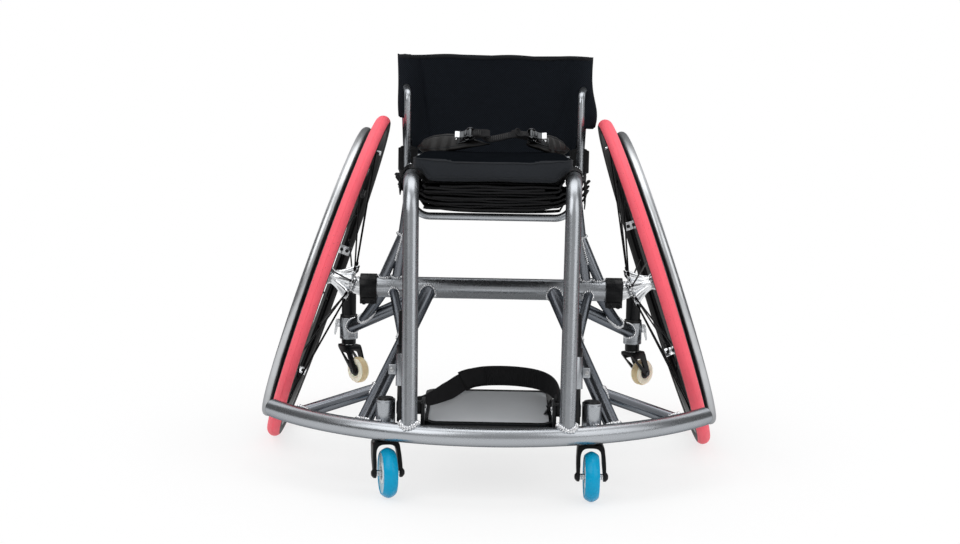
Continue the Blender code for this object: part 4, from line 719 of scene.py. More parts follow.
def turned(profile, steps, radius=0.0):
    """A solid turned about Z. A profile that starts and ends on the axis is closed there."""
    on_axis = profile[0][0] == 0
    if radius:
        profile = soften(profile, radius, not on_axis)
    edit = bmesh.new()
    rows = []
    for r, height in profile:
        if r == 0:
            rows.append([edit.verts.new((0, 0, height))])
            continue
        rows.append([edit.verts.new((x, y, height)) for x, y in circle(r, steps)])
    pairs = list(zip(rows, rows[1:])) + ([] if on_axis else [(rows[-1], rows[0])])
    for row, following in pairs:
        for j in range(steps):
            k = (j + 1) % steps
            corners = ((row, j), (row, k), (following, k), (following, j))
            edit.faces.new(list(dict.fromkeys(ring[n % len(ring)] for ring, n in corners)))
    return edit


def bar(radius, low, high, steps, edge=0.0005):
    return turned([(0, low), (radius, low), (radius, high), (0, high)], steps, edge)


def washer(inner, outer, low, high, steps=40, edge=0.0004):
    return turned([(inner, low), (outer, low), (outer, high), (inner, high)], steps, edge)


def bevelled(shape, amount, segments=3, angle=30):
    edges = [e for e in shape.edges if len(e.link_faces) == 2 and e.calc_face_angle() > radians(angle)]
    bmesh.ops.bevel(shape, geom=edges, offset=amount, segments=segments, affect="EDGES", profile=0.5)
    return shape


def prism(outline, low, high, bevel=0.0):
    """An outline in X and Y, raised from low to high along Z."""
    shape = skin([[Vector((x, y, height)) for x, y in outline] for height in (low, high)])
    bmesh.ops.recalc_face_normals(shape, faces=shape.faces)
    return bevelled(shape, bevel, 2, 60) if bevel else shape


def block(size, bevel, centre=(0, 0, 0)):
    edit = bmesh.new()
    bmesh.ops.create_cube(edit, size=1)
    bmesh.ops.scale(edit, vec=size, verts=edit.verts)
    if bevel:
        bevelled(edit, bevel)
    bmesh.ops.translate(edit, vec=centre, verts=edit.verts)
    return edit


def merged(*parts):
    """One bmesh that holds several separate shapes."""
    whole = bmesh.new()
    for part in parts:
        mesh = as_mesh("part", part)
        whole.from_mesh(mesh)
        bpy.data.meshes.remove(mesh)
    return whole


def moved(edit, matrix):
    bmesh.ops.transform(edit, matrix=matrix, verts=edit.verts)
    return edit


def rotation(angle, axis="Z"):
    return Matrix.Rotation(angle, 4, axis)


def place_at(point, turn=None):
    return Matrix.Translation(Vector(point)) @ (turn or Matrix.Identity(4))


FLIP = rotation(pi, "X")
Z_TO_X = rotation(pi / 2, "Y")
Z_TO_FRONT = rotation(pi / 2, "X")


def at_both_ends(make):
    """A shape that stands for the lower end, turned over, and one for the upper end."""
    return [moved(make(), FLIP), make()]


def carve(piece, *shapes):
    """Cuts the shapes out of the piece's mesh, in the piece's final place."""
    for shape in shapes:
        bmesh.ops.recalc_face_normals(shape, faces=shape.faces)
        bmesh.ops.translate(shape, vec=(0, AXLE_Y, 0), verts=shape.verts)
        mesh = as_mesh("cutter", shape)
        cutter = link("cutter", mesh)
        step = piece.modifiers.new("Cut", "BOOLEAN")
        step.operation, step.object, step.solver = "DIFFERENCE", cutter, "EXACT"
        apply_modifiers(piece)
        bpy.data.objects.remove(cutter)
        bpy.data.meshes.remove(mesh)
    piece.data.set_sharp_from_angle(angle=radians(35))


def apply_modifiers(piece):
    graph = bpy.context.evaluated_depsgraph_get()
    made = bpy.data.meshes.new_from_object(piece.evaluated_get(graph))
    piece.modifiers.clear()
    old = piece.data
    piece.data = made
    bpy.data.meshes.remove(old)


def surface(piece):
    mesh = piece.data
    return BVHTree.FromPolygons([v.co for v in mesh.vertices], [p.vertices for p in mesh.polygons])


# Where the frame's tubes run
def bumper_point(angle):
    return Vector((
        BUMPER_RADIUS * sin(angle), BUMPER_CENTRE_Y - BUMPER_RADIUS * cos(angle), BUMPER_Z))


def on_bumper(x):
    return bumper_point(asin(x / BUMPER_RADIUS))


def mirror(point, side):
    return Vector((side * point[0], point[1], point[2]))


def wheel_place(side):
    """Local Z runs outboard along the axle; the origin is the middle of the tyre."""
    return place_at((side * HUB_X, 0, HUB_Z), rotation(side * (pi / 2 - CAMBER), "Y"))


def front_corners(side):
    return [mirror(SEAT_REAR, side), mirror(KNEE, side), mirror(on_bumper(FRONT_FOOT_X), side)]


def on_seat_rail(side, y):
    rear, knee, _ = front_corners(side)
    return rear.lerp(knee, (y - rear.y) / (knee.y - rear.y))


def side_ends(side):
    return Vector((side * SIDE_TOP_X, 0, CAMBER_TUBE_Z)), mirror(on_bumper(SIDE_FOOT_X), side)


def hanger_line():
    """The direction in which the footrest slides, a hanger's Y at height 0, and its slope."""
    _, knee, foot = front_corners(1)
    slope = (knee.y - foot.y) / (knee.z - foot.z)
    upwards = Vector((0, slope, 1)).normalized()
    sleeve = HANGER_TUBE / 2 + PLAY + SLEEVE_WALL
    tube_x = foot.x + (knee.x - foot.x) * (SLEEVE_FOOT_Z - foot.z) / (knee.z - foot.z)
    reach = sleeve + FRONT_TUBE / 2 + PLAY
    back = sqrt(reach ** 2 - min(HANGER_X - tube_x, reach) ** 2) / upwards.z
    return upwards, foot.y - slope * foot.z + back, slope


def hanger_point(side, z):
    _, base_y, slope = hanger_line()
    return Vector((side * HANGER_X, base_y + slope * z, z))


def longest_run(hits):
    """The longest stretch of the ring of hits without a miss or a jump, and whether it is the whole ring."""
    count = len(hits)

    def joined(i):
        first, second = hits[i % count], hits[(i + 1) % count]
        return first is not None and second is not None and (second - first).length < WELD_JUMP

    if all(joined(i) for i in range(count)):
        return hits, True
    best = []
    for start in range(count):
        if hits[start] is None or joined(start - 1):
            continue
        last = start
        while joined(last):
            last += 1
        if last + 1 - start > len(best):
            best = [hits[i % count] for i in range(start, last + 1)]
    return best, False


def weld(name, start, end, diameter, main, body="frame", size=0.0028):
    """A lumpy bead where a bar from start to end runs into the main piece, as far as the two meet."""
    start, end = (Vector(p) + Vector((0, AXLE_Y, 0)) for p in (start, end))
    tree = surface(main)
    along = (end - start).normalized()
    side = along.orthogonal().normalized()
    other = along.cross(side)
    hits = []
    for x, y in circle(1, WELD_RAYS):
        outwards = side * x + other * y
        hit = tree.ray_cast(start + outwards * diameter / 2, along, (end - start).length * 1.5)[0]
        hits.append(hit + (outwards - along) * size * 0.2 if hit else None)
    run, whole = longest_run(hits)
    if len(run) < WELD_RAYS * WELD_LEAST:
        return
    loop = even(run + run[:1], WELD_STEP)[:-1] if whole else even(run, WELD_STEP)
    count = len(loop)
    ripples = max(4, round(count * WELD_STEP / WELD_RIPPLE))
    rng = random.Random(name)
    lumps = [rng.uniform(0.78, 1.2) for _ in range(ripples)]
    drift = [rng.uniform(-0.25, 0.25) * size for _ in range(ripples)]
    rings = []
    for i, point in enumerate(loop):
        before, after = (i - 1) % count, (i + 1) % count
        if not whole:
            before, after = max(i - 1, 0), min(i + 1, count - 1)
        forward = (loop[after] - loop[before]).normalized()
        u = along.cross(forward).normalized()
        v = forward.cross(u)
        phase = i * ripples / count
        lump = int(phase) % ripples
        hump = abs(sin(pi * phase))
        swell = size * lumps[lump] * (0.62 + 0.5 * hump)
        if not whole:
            swell *= min(1, 0.25 + min(i, count - 1 - i) / 6)
        centre = point + v * drift[lump] * hump
        rings.append([centre + u * a * swell + v * b * swell for a, b in circle(1, 12)])
    shape = skin(rings, closed_loop=whole)
    bmesh.ops.translate(shape, vec=(0, -AXLE_Y, 0), verts=shape.verts)
    # The bead's bright metal is a painted glint; the real bead wears the frame's paint.
    add_piece(name, shape, "weld", body, sharp=60)


def frame_along(direction, up=UP):
    """A rotation whose Z axis runs along direction and whose Y axis leans towards up."""
    z_axis = Vector(direction).normalized()
    x_axis = Vector(up).cross(z_axis)
    if x_axis.length < 1e-4:
        x_axis = Vector((1, 0, 0))
    x_axis.normalize()
    return Matrix((x_axis, z_axis.cross(x_axis), z_axis)).transposed().to_4x4()


def end_cap(name, point, direction, diameter):
    """A moulded plug in a tube's open end."""
    radius = diameter / 2
    outline = (
        (0, -0.004), (0.8, -0.004), (0.8, 0), (0.96, 0), (0.98, 0.0012), (0.86, 0.0028), (0.5, 0.0036),
        (0, 0.0038))
    shape = turned([(radius * share, height) for share, height in outline], 40, 0.0004)
    add_piece(name, shape, "plastic", "frame", place=place_at(point, frame_along(direction)))


def hexagon_at(flat, cap, z, sides):
    """A hexagon whose sides lie at the distance flat, with its corners cut back to the radius cap."""
    points = []
    for x, y in circle(1, sides):
        turn = atan2(y, x) % (pi / 3) - pi / 6
        reach = min(flat / cos(turn), cap)
        points.append(Vector((x * reach, y * reach, z)))
    return points


def socket_screw(head, height, socket):
    """A cap screw's head with its hexagon socket, standing on Z 0."""
    outer, corner, sides = head / 2, head * socket / 2, 36
    edge = min(0.0005, height * 0.3)
    round_rings = (
        (outer * 0.9, -0.001), (outer, 0), (outer, height - edge),
        (outer - edge * 0.35, height - edge * 0.35), (outer - edge, height))
    socket_rings = ((corner + edge * 0.4, height), (corner, height - edge * 0.4), (corner, height * 0.4))
    return skin(
        [ring_at(radius, z, sides) for radius, z in round_rings]
        + [hexagon_at(radius * cos(pi / 6), radius, z, sides) for radius, z in socket_rings])


def hex_nut(across, height, bore=0.0):
    """A nut with its chamfered corners, standing on Z 0."""
    flat, corner, sides = across / 2, across / sqrt(3), 48
    chamfer = (corner - flat) * 0.55
    levels = ((flat, 0), (corner, chamfer), (corner, height - chamfer), (flat, height))
    rings = [hexagon_at(flat, cap, z, sides) for cap, z in levels]
    if bore:
        rings += [ring_at(bore / 2, z, sides) for z in (height, 0)]
    return skin(rings, closed_loop=bool(bore))


def make_main_tubes():
    """The bumper, the camber tube, the cross tube and both front tubes, which the rest is welded to."""
    steps = 120
    bend = [bumper_point(BUMPER_HALF_ANGLE * (2 * i / steps - 1)) for i in range(steps + 1)]
    made = {"bumper": add_piece("bumper_skin", tube(bend, BUMPER_TUBE, 48), "frame", "frame", "bumper_tube")}
    for name, side in SIDES:
        turn = side * BUMPER_HALF_ANGLE
        along = Vector((side * cos(turn), side * sin(turn), 0))
        end_cap(f"bumper_cap_{name}", bumper_point(turn), along, BUMPER_TUBE)

    wall = washer(PLUG_DIAMETER / 2 + PLAY, CAMBER_TUBE / 2, -TUBE_END_X, TUBE_END_X, 64, 0.0005)
    lies = place_at((0, 0, CAMBER_TUBE_Z), Z_TO_X)
    made["camber"] = add_piece("camber_tube_skin", wall, "frame", "frame", "camber_tube", lies)

    for name, side in SIDES:
        corners = front_corners(side)
        path = rounded_path(corners, KNEE_RADIUS)
        node = f"front_tube_{name}"
        made[name] = add_piece(f"{node}_skin", tube(path, FRONT_TUBE, 48), "frame", "frame", node)
        end_cap(f"seat_rail_cap_{name}", corners[0], corners[0] - corners[1], FRONT_TUBE)
        weld(f"weld_front_tube_{name}", path[-2], path[-1], FRONT_TUBE, made["bumper"], size=0.0046)

    cross_top = on_seat_rail(1, SEAT_CROSS_Y).z
    corners = (1, cross_top), (1, SEAT_CROSS_Z), (-1, SEAT_CROSS_Z), (-1, cross_top)
    path = rounded_path([(side * SEAT_CROSS_X, SEAT_CROSS_Y, z) for side, z in corners], SEAT_CROSS_BEND)
    hoop = tube(path, SEAT_CROSS_TUBE, BAR_SIDES)
    add_piece("seat_cross_skin", hoop, "frame", "frame", "seat_cross_tube")
    for name, before, end in (("left", path[1], path[0]), ("right", path[-2], path[-1])):
        weld(f"weld_seat_cross_{name}", before, end, SEAT_CROSS_TUBE, made[name])
    return made


def bar_piece(node, start, end, diameter, joins):
    """A straight frame tube, welded to the pieces that it runs into at its start and its end."""
    # Side tubes, struts and braces take the darker copy of the frame paint, a painted shade.
    piece = add_piece(f"{node}_skin", tube([start, end], diameter), "frame_deep", "frame", node)
    middle = (Vector(start) + Vector(end)) / 2
    for label, target, main in (("top", start, joins[0]), ("foot", end, joins[1])):
        if main is not None:
            weld(f"weld_{node}_{label}", middle, target, diameter, main)
    return piece


def make_side_frame(name, side, made):
    """The tubes between the camber tube, the bumper and the seat rail on one side."""
    camber, bumper = made["camber"], made["bumper"]

    def on_camber_tube(x):
        return Vector((side * x, 0, CAMBER_TUBE_Z))

    top, foot = side_ends(side)
    side_tube = bar_piece(f"side_tube_{name}", top, foot, SIDE_TUBE, (camber, bumper))
    bar_piece(
        f"outer_strut_{name}", on_camber_tube(STRUT_TOP_X), top.lerp(foot, STRUT_AT), STRUT_TUBE,
        (camber, side_tube))
    brace_foot = mirror(on_bumper(bumper_point(BUMPER_HALF_ANGLE).x - BRACE_INSET), side)
    bar_piece(f"bumper_brace_{name}", top.lerp(foot, BRACE_AT), brace_foot, BRACE_TUBE, (side_tube, bumper))
    upright_foot, upright_top = on_camber_tube(UPRIGHT_FOOT_X), on_seat_rail(side, 0.0)
    upright = bar_piece(
        f"seat_upright_{name}", upright_top, upright_foot, UPRIGHT_TUBE, (made[name], camber))
    brace_top = upright_foot.lerp(upright_top, SEAT_BRACE_AT)
    bar_piece(
        f"seat_brace_{name}", brace_top, on_camber_tube(SEAT_BRACE_FOOT_X), UPRIGHT_TUBE, (upright, camber))


def make_camber_end(name, side):
    """The plug with its slanted sleeve, and the split clamp with its two screws."""
    sleeve, bore, face = PLUG_SLEEVE_DIAMETER / 2, AXLE_DIAMETER / 2 + PLAY, -HUB_INBOARD - 0.0005
    foot = -(TUBE_END + sleeve * sin(CAMBER))
    collar = turned([
        (bore, foot), (sleeve, foot), (sleeve, face - 0.003), (sleeve - 0.0022, face), (bore, face),
    ], 56, 0.0008)
    add = adder("frame", f"camber_plug_{name}")
    add("_sleeve", collar, "silver", place=wheel_place(side))
    plug_half, plug_inset = 0.025, 0.0245
    plug = bar(PLUG_DIAMETER / 2, -plug_half, plug_half, 56, 0.0006)
    add("_body", plug, "silver", place=place_at((side * (TUBE_END_X - plug_inset), 0, CAMBER_TUBE_Z), Z_TO_X))

    inner, outer = CAMBER_TUBE / 2 + PLAY, CAMBER_TUBE / 2 + CLAMP_WALL
    slit, chamfer, steps, low = 0.001, 0.002, 64, -CLAMP_DROP
    slit_angle, lug_angle = asin(slit / inner), asin(CLAMP_LUG / outer)
    outline = arc(inner, slit_angle - pi / 2, 3 * pi / 2 - slit_angle, steps)
    outline += [(-slit, low), (chamfer - CLAMP_LUG, low), (-CLAMP_LUG, low + chamfer)]
    outline += arc(outer, 3 * pi / 2 - lug_angle, lug_angle - pi / 2, steps)
    outline += [(CLAMP_LUG, low + chamfer), (CLAMP_LUG - chamfer, low), (slit, low)]
    upright = Matrix(((0, 0, 1, 0), (1, 0, 0, 0), (0, 1, 0, 0), (0, 0, 0, 1)))
    middle = Vector((side * (TUBE_END_X - CLAMP_WIDTH / 2), 0, CAMBER_TUBE_Z))
    add = adder("frame", f"camber_clamp_{name}")
    ring = prism(outline, -CLAMP_WIDTH / 2, CLAMP_WIDTH / 2, 0.0007)
    split_clamp = add("_skin", ring, "black_metal", place=place_at(middle, upright))
    cutters, recess = [], 0.0035
    for number, shift in ((1, -1), (2, 1)):
        at = middle + Vector((shift * CLAMP_WIDTH / 4, -CLAMP_LUG, (outer + CLAMP_DROP) / -2))
        cutters.append(moved(bar(0.0049, -recess, 0.01, 32, 0), place_at(at, Z_TO_FRONT)))
        seat = place_at(at + Vector((0, recess, 0)), Z_TO_FRONT)
        screw = socket_screw(0.0082, 0.0030, 0.55)
        add(f"clamp_screw_{name}_{number}", screw, "black_metal", place=seat)
        rim = washer(0.0043, 0.0048, 0.0010, 0.0037, 40, 0.0002)
        add(f"clamp_ring_{name}_{number}", rim, "dark_steel", place=seat, slot="black_metal")
    groove = [Vector((0, y, z)) for y, z in circle(outer + 0.0002, 96)]
    cutters.append(moved(sweep(groove, circle(0.0005, 8), loop=True), place_at(middle)))
    carve(split_clamp, *cutters)


def make_caster_housing(name, side, made):
    radius, top, foot = CASTER_HOUSING / 2, CASTER_HOUSING_TOP, CASTER_HOUSING_FOOT
    stem, lip = mirror(CASTER_STEM, side), radius - 0.0018
    add = adder("frame", f"caster_housing_{name}", place_at(stem))
    shell = turned([
        (0, foot + 0.004), (radius - 0.006, foot + 0.004), (radius - 0.005, foot), (radius, foot),
        (radius, top - 0.0036), (radius - 0.0006, top - 0.0030), (radius, top - 0.0024), (radius, top),
        (lip, top), (lip, top - 0.0015), (0, top - 0.0015),
    ], 56, 0.0005)
    housing = add("_shell", shell, "frame")
    cap = turned([
        (0, top - 0.002), (lip - 0.0002, top - 0.002), (lip - 0.0002, top + 0.0006),
        (lip - 0.0014, top + 0.0026), (lip - 0.004, top + 0.003), (0, top + 0.0026),
    ], 48, 0.0006)
    add("_cap", cap, "plastic")
    high, low = (stem + Vector((0, 0, z)) for z in (top + 0.05, foot))
    weld(f"weld_housing_{name}", high, low, CASTER_HOUSING, made["bumper"], size=0.0038)
    upper, lower = side_ends(side)
    weld(f"weld_housing_side_{name}", upper.lerp(lower, 0.6), lower, SIDE_TUBE, housing, size=0.0038)


def make_back_frame(made):
    """Two canes on the seat rails, the bar between them, and a stay bent back into each cane."""
    add = adder("frame", "back_frame")
    ends = [Vector((side * cane_x(BACK_BAR_Z), CANE_Y, BACK_BAR_Z)) for side in (-1, 1)]
    add("back_bar", tube(ends, BACK_BAR, BAR_SIDES), "frame")
    foot_z = on_seat_rail(1, CANE_Y).z
    for name, side in SIDES:
        foot, top = (Vector((side * cane_x(z), CANE_Y, z)) for z in (foot_z, CANE_TOP))
        cane = add(f"cane_{name}", tube([foot, top], CANE_TUBE), "frame")
        end_cap(f"cane_cap_{name}", top, top - foot, CANE_TUBE)
        weld(f"weld_cane_{name}", top, foot, CANE_TUBE, made[name])
        weld(f"weld_back_bar_{name}", ends[0].lerp(ends[1], 0.5), ends[(side + 1) // 2], BACK_BAR, cane)
        path = rounded_path(stay_corners(side), STAY_BEND)
        add(f"back_stay_{name}", tube(path, STAY_TUBE, 32), "frame")
        weld(f"weld_stay_foot_{name}", path[1], path[0], STAY_TUBE, made[name])
        weld(f"weld_stay_top_{name}", path[-2], path[-1], STAY_TUBE, cane, size=0.0020)


def cane_x(z):
    foot = on_seat_rail(1, CANE_Y).z
    return CANE_FOOT_X + (CANE_TOP_X - CANE_FOOT_X) * (z - foot) / (CANE_TOP - foot)


def stay_corners(side):
    end = STAY_BEND_Z + STAY_RISE
    return [
        Vector((side * STAY_X, STAY_Y, on_seat_rail(side, STAY_Y).z)),
        Vector((side * STAY_X, STAY_Y, STAY_BEND_Z)), Vector((side * cane_x(end), CANE_Y, end)),
    ]


def make_tyre(name, side):
    """A smooth tread between thin black sidewalls, with a fine line along its middle."""
    half, line_angle, steps = TYRE_SECTION / 2, radians(1.3), 20
    line_depth, wall_inset = 0.00035, 0.0003
    seat = acos((RIM_OUTER_RADIUS + PLAY - TYRE_CENTRE_RADIUS) / half)
    turns = [-seat + (seat - TREAD_HALF_ANGLE) * i / 8 for i in range(8)]
    turns += [-TREAD_HALF_ANGLE + (TREAD_HALF_ANGLE - line_angle) * i / steps for i in range(steps + 1)]
    turns = turns + [0] + [-turn for turn in reversed(turns)]
    profile = []
    for turn in turns:
        radius = half
        if turn == 0:
            radius -= line_depth
        elif abs(turn) > TREAD_HALF_ANGLE + 1e-6:
            radius -= wall_inset
        profile.append((TYRE_CENTRE_RADIUS + radius * cos(turn), radius * sin(turn)))
    shape = turned(profile, WHEEL_STEPS)
    for face in shape.faces:
        middle = face.calc_center_median()
        turn = atan2(middle.z, middle.xy.length - TYRE_CENTRE_RADIUS)
        face.material_index = 0 if abs(turn) < TREAD_HALF_ANGLE else 1
    node, body = f"tyre_{name}", f"drive_wheel_{name}"
    add_piece(f"{node}_skin", shape, ("tread", "sidewall"), body, node, wheel_place(side), 60, "tyre")


def make_rim(name, side):
    outer, half = RIM_OUTER_RADIUS, RIM_WIDTH / 2
    nose, shoulder = outer - RIM_DEPTH, outer - RIM_WALL
    half_profile = [
        (nose + 0.0022, 0.0040), (shoulder, half - 0.0006), (shoulder + 0.002, half), (outer - 0.0012, half),
        (outer, half - 0.0012),
    ]
    place, body = wheel_place(side), f"drive_wheel_{name}"
    add = adder(body, f"rim_{name}", place)
    add("_skin", turned([(nose, 0)] + both_sides(half_profile), WHEEL_STEPS, 0.0012), "rim")
    valve = merged(bar(0.0030, 0, 0.016, 20), bar(0.0041, 0.012, 0.0205, 20, 0.0012))
    inwards = place_at((nose + 0.001, 0, 0), rotation(-pi / 2, "Y"))
    stem = place @ rotation(CLIP_TURN[name] + radians(30)) @ inwards
    add_piece(f"valve_{name}", valve, "plastic", body, place=stem, slot="rim")


def make_handrim(name, side):
    """A tube ring on six flat plates, each with two screws."""
    place, body = wheel_place(side), f"drive_wheel_{name}"
    add = adder(body, f"handrim_{name}", place)
    ring = ring_at(HANDRIM_RADIUS, HANDRIM_OFFSET, 2 * WHEEL_STEPS)
    loop = sweep(ring, circle(HANDRIM_TUBE / 2, 44), loop=True, across=lambda i: UP)
    handrim = add("_ring", loop, "handrim")
    radius = (RIM_OUTER_RADIUS - RIM_DEPTH) * cos(pi / 36) - PLAY - CLIP_THICKNESS / 2
    low, high = -RIM_WIDTH / 2 - 0.001, HANDRIM_OFFSET + 0.002
    for i in range(HANDRIM_CLIPS):
        label = f"{name}_{i + 1}"
        turned_place = place @ rotation(CLIP_TURN[name] + 2 * pi * i / HANDRIM_CLIPS)
        plate = bevelled(
            block((CLIP_THICKNESS, CLIP_WIDTH, high - low), 0, (radius, 0, (low + high) / 2)), 0.0008, 2)
        add(f"handrim_clip_{label}", plate, "silver", place=turned_place, slot="handrim")
        screws = []
        for height in (-0.0045, 0.0065):
            at = place_at((radius - CLIP_THICKNESS / 2, 0, height), rotation(-pi / 2, "Y"))
            screws.append(moved(socket_screw(0.0068, 0.0020, 0.55), at))
        add(f"clip_screws_{label}", merged(*screws), "plastic", place=turned_place, slot="rim")
        middle, target = (turned_place @ Vector((radius, 0, z)) for z in (-0.004, HANDRIM_OFFSET))
        weld(f"weld_clip_{label}", middle, target, 0.0115, handrim, body, 0.0012)


def hub_section(turn, height):
    """The hub's radius: a waisted barrel whose nine ribs a side run out into lobes."""
    waist, middle = 0.0132, -0.006
    inboard = height < middle
    reach = (FLANGE_INBOARD if inboard else FLANGE_OUTBOARD) + middle
    share = clamp((abs(height - middle) if inboard else height - middle) / reach)
    shift = 0.0 if inboard else 0.5
    pitch = 2 * pi / SPOKES_PER_FLANGE
    off = abs((turn / pitch - shift + 0.5) % 1 - 0.5) * pitch
    tip = waist + (PRONG_RADIUS - waist) * share ** 1.45
    base = waist + 0.0115 * share ** 1.7
    side = off * tip
    half, fillet = 0.0034 + 0.0010 * share, 0.0030
    crown = 1 - 0.06 * (side / half) ** 2 if side < half else 0.94
    return base + (tip * crown - base) * eased((half + fillet - side) / fillet)


def make_hub(name, side):
    body, node, count = f"drive_wheel_{name}", f"hub_{name}", SPOKES_PER_FLANGE * 28
    add = adder(body, node, wheel_place(side))
    bore, neck, shoulder = AXLE_DIAMETER / 2 + PLAY, 0.0145, 0.0165
    half_flange, edge = 0.003, 0.0006
    faces = (-FLANGE_INBOARD - half_flange, FLANGE_OUTBOARD + half_flange)
    low, high = -FLANGE_INBOARD + half_flange, FLANGE_OUTBOARD - half_flange
    heights = [faces[0] + edge] + [low + (high - low) * i / 40 for i in range(41)] + [faces[1] - edge]

    def ring(height, inset=0.0, z=None):
        level = min(max(height, low), high)
        points = []
        for x, y in circle(1, count):
            reach = hub_section(atan2(y, x), level) - inset
            points.append(Vector((x * reach, y * reach, height if z is None else z)))
        return points

    def end_rings(end, face, way):
        return [ring_at(radius, z, count) for radius, z in (
            (bore, end), (neck - 0.0005, end), (neck, end - way * 0.0005), (neck, face + way * 0.0002),
            (shoulder, face))]

    rings = end_rings(-HUB_INBOARD, faces[0], -1) + [ring(low, 0.0007, faces[0])]
    rings += [ring(height) for height in heights]
    rings += [ring(high, 0.0007, faces[1])] + end_rings(HUB_OUTBOARD, faces[1], 1)[::-1]
    hub_turn = rotation(HUB_TURN[name])
    add("_spool", skin(rings, closed_loop=True), "silver", place=wheel_place(side) @ hub_turn, slot="hub")
    seals = merged(
        washer(0.0072, 0.0128, -HUB_INBOARD - 0.0002, -HUB_INBOARD + 0.002),
        washer(0.0072, 0.0128, HUB_OUTBOARD - 0.002, HUB_OUTBOARD + 0.0002))
    add("_seals", seals, "plastic", slot="hub")

    spokes, nuts, nipples = [], [], []
    for middle, way, seat_z in ((-FLANGE_INBOARD, -1, faces[0]), (FLANGE_OUTBOARD, 1, faces[1])):
        for i in range(SPOKES_PER_FLANGE):
            angle = HUB_TURN[name] + 2 * pi * (i + (0.5 if way > 0 else 0)) / SPOKES_PER_FLANGE

            def out(radius, lean, z):
                return Vector((radius * cos(angle + lean), radius * sin(angle + lean), z))

            start = out(PRONG_RADIUS - 0.004, 0, middle)
            end = out(RIM_OUTER_RADIUS - RIM_DEPTH + 0.001, way * SPOKE_LEAN, way * 0.0015)
            spokes.append(tube([start, end], SPOKE_DIAMETER, 14))
            along = (end - start).normalized()
            outwards = frame_along(along)
            nipple = turned([
                (0, 0), (0.0021, 0), (0.0021, 0.011), (0.0028, 0.0125), (0.0028, 0.0165), (0, 0.0165),
            ], 16, 0.0003)
            nipples.append(moved(nipple, place_at(end - along * 0.0155, outwards)))
            nipples.append(moved(bar(0.0026, 0, 0.006, 16), place_at(start + along * 0.002, outwards)))
            turn = rotation(angle) @ FLIP if way < 0 else rotation(angle)
            nuts.append(moved(hex_nut(0.0058, 0.0026), place_at(out(PRONG_RADIUS - 0.0046, 0, seat_z), turn)))
    for label, parts, material, slot in (
            ("spokes", spokes, "rim", "rim"), ("nipples", nipples, "rim", "rim"),
            ("hub_nuts", nuts, "plastic", "hub")):
        add(f"{label}_{name}", merged(*parts), material, slot=slot)


def make_axle(name, side):
    place = wheel_place(side)
    pin, cap, head = AXLE_DIAMETER / 2, AXLE_HEAD_DIAMETER / 2, HUB_OUTBOARD + 0.0005
    top, end, radius = head + 0.004, -(HUB_INBOARD + 0.040), AXLE_BUTTON_DIAMETER / 2
    bore, floor = radius + PLAY, head - 0.008
    shape = turned([
        (0, end), (pin - 0.0015, end), (pin, end + 0.0015), (pin, head), (cap, head), (cap, top - 0.001),
        (cap - 0.001, top), (bore + 0.0008, top), (bore, top - 0.0008), (bore, floor), (0, floor),
    ], 40, 0.0003)
    add_piece(f"axle_{name}_skin", shape, "silver", "frame", f"axle_{name}", place)
    tip = top + 0.006
    foot = tip - 0.0138
    button = turned([
        (0, foot), (radius, foot), (radius, tip - 0.0016), (radius - 0.0006, tip - 0.0005),
        (radius - 0.0016, tip), (0.0012, tip - 0.0002), (0, tip - 0.0005),
    ], 32, 0.0004)
    add_piece(
        f"axle_button_{name}_skin", button, "plastic", f"axle_release_{name}", f"axle_button_{name}", place)


def fork_outline():
    """The front caster's fork seen from the front: sloping shoulders over an arch that clears the wheel."""
    leg, foot = CASTER_LEG_SPREAD + CASTER_LEG_THICKNESS / 2, CASTER_WHEEL / 2 - 0.001
    top, waist = CASTER_CROWN_Z, CASTER_WHEEL / 2 + 0.022
    outside = soften([
        (leg, foot), (leg, waist), (leg - 0.0025, top), (-leg + 0.0025, top), (-leg, waist), (-leg, foot)],
        0.008, steps=6)
    inner, spring, crown = leg - 0.0062, CASTER_WHEEL / 2 + 0.017, top - CASTER_LEG_THICKNESS
    arch = []
    for across, up in arc(1, pi, 0, 32):
        across, up = copysign(abs(across) ** 0.57, across), abs(up) ** 0.57
        arch.append((across * inner, spring + (crown - spring) * up))
    foot_inner = leg - CASTER_LEG_FOOT
    return outside + [(-foot_inner, foot)] + arch + [(foot_inner, foot)]


def outline_normals(outline):
    """The outward directions at an outline's corners. The outline runs anticlockwise."""
    made = []
    for i in range(len(outline)):
        before, after = Vector(outline[i - 1]), Vector(outline[(i + 1) % len(outline)])
        along = (after - before).normalized()
        made.append((along.y, -along.x))
    return made


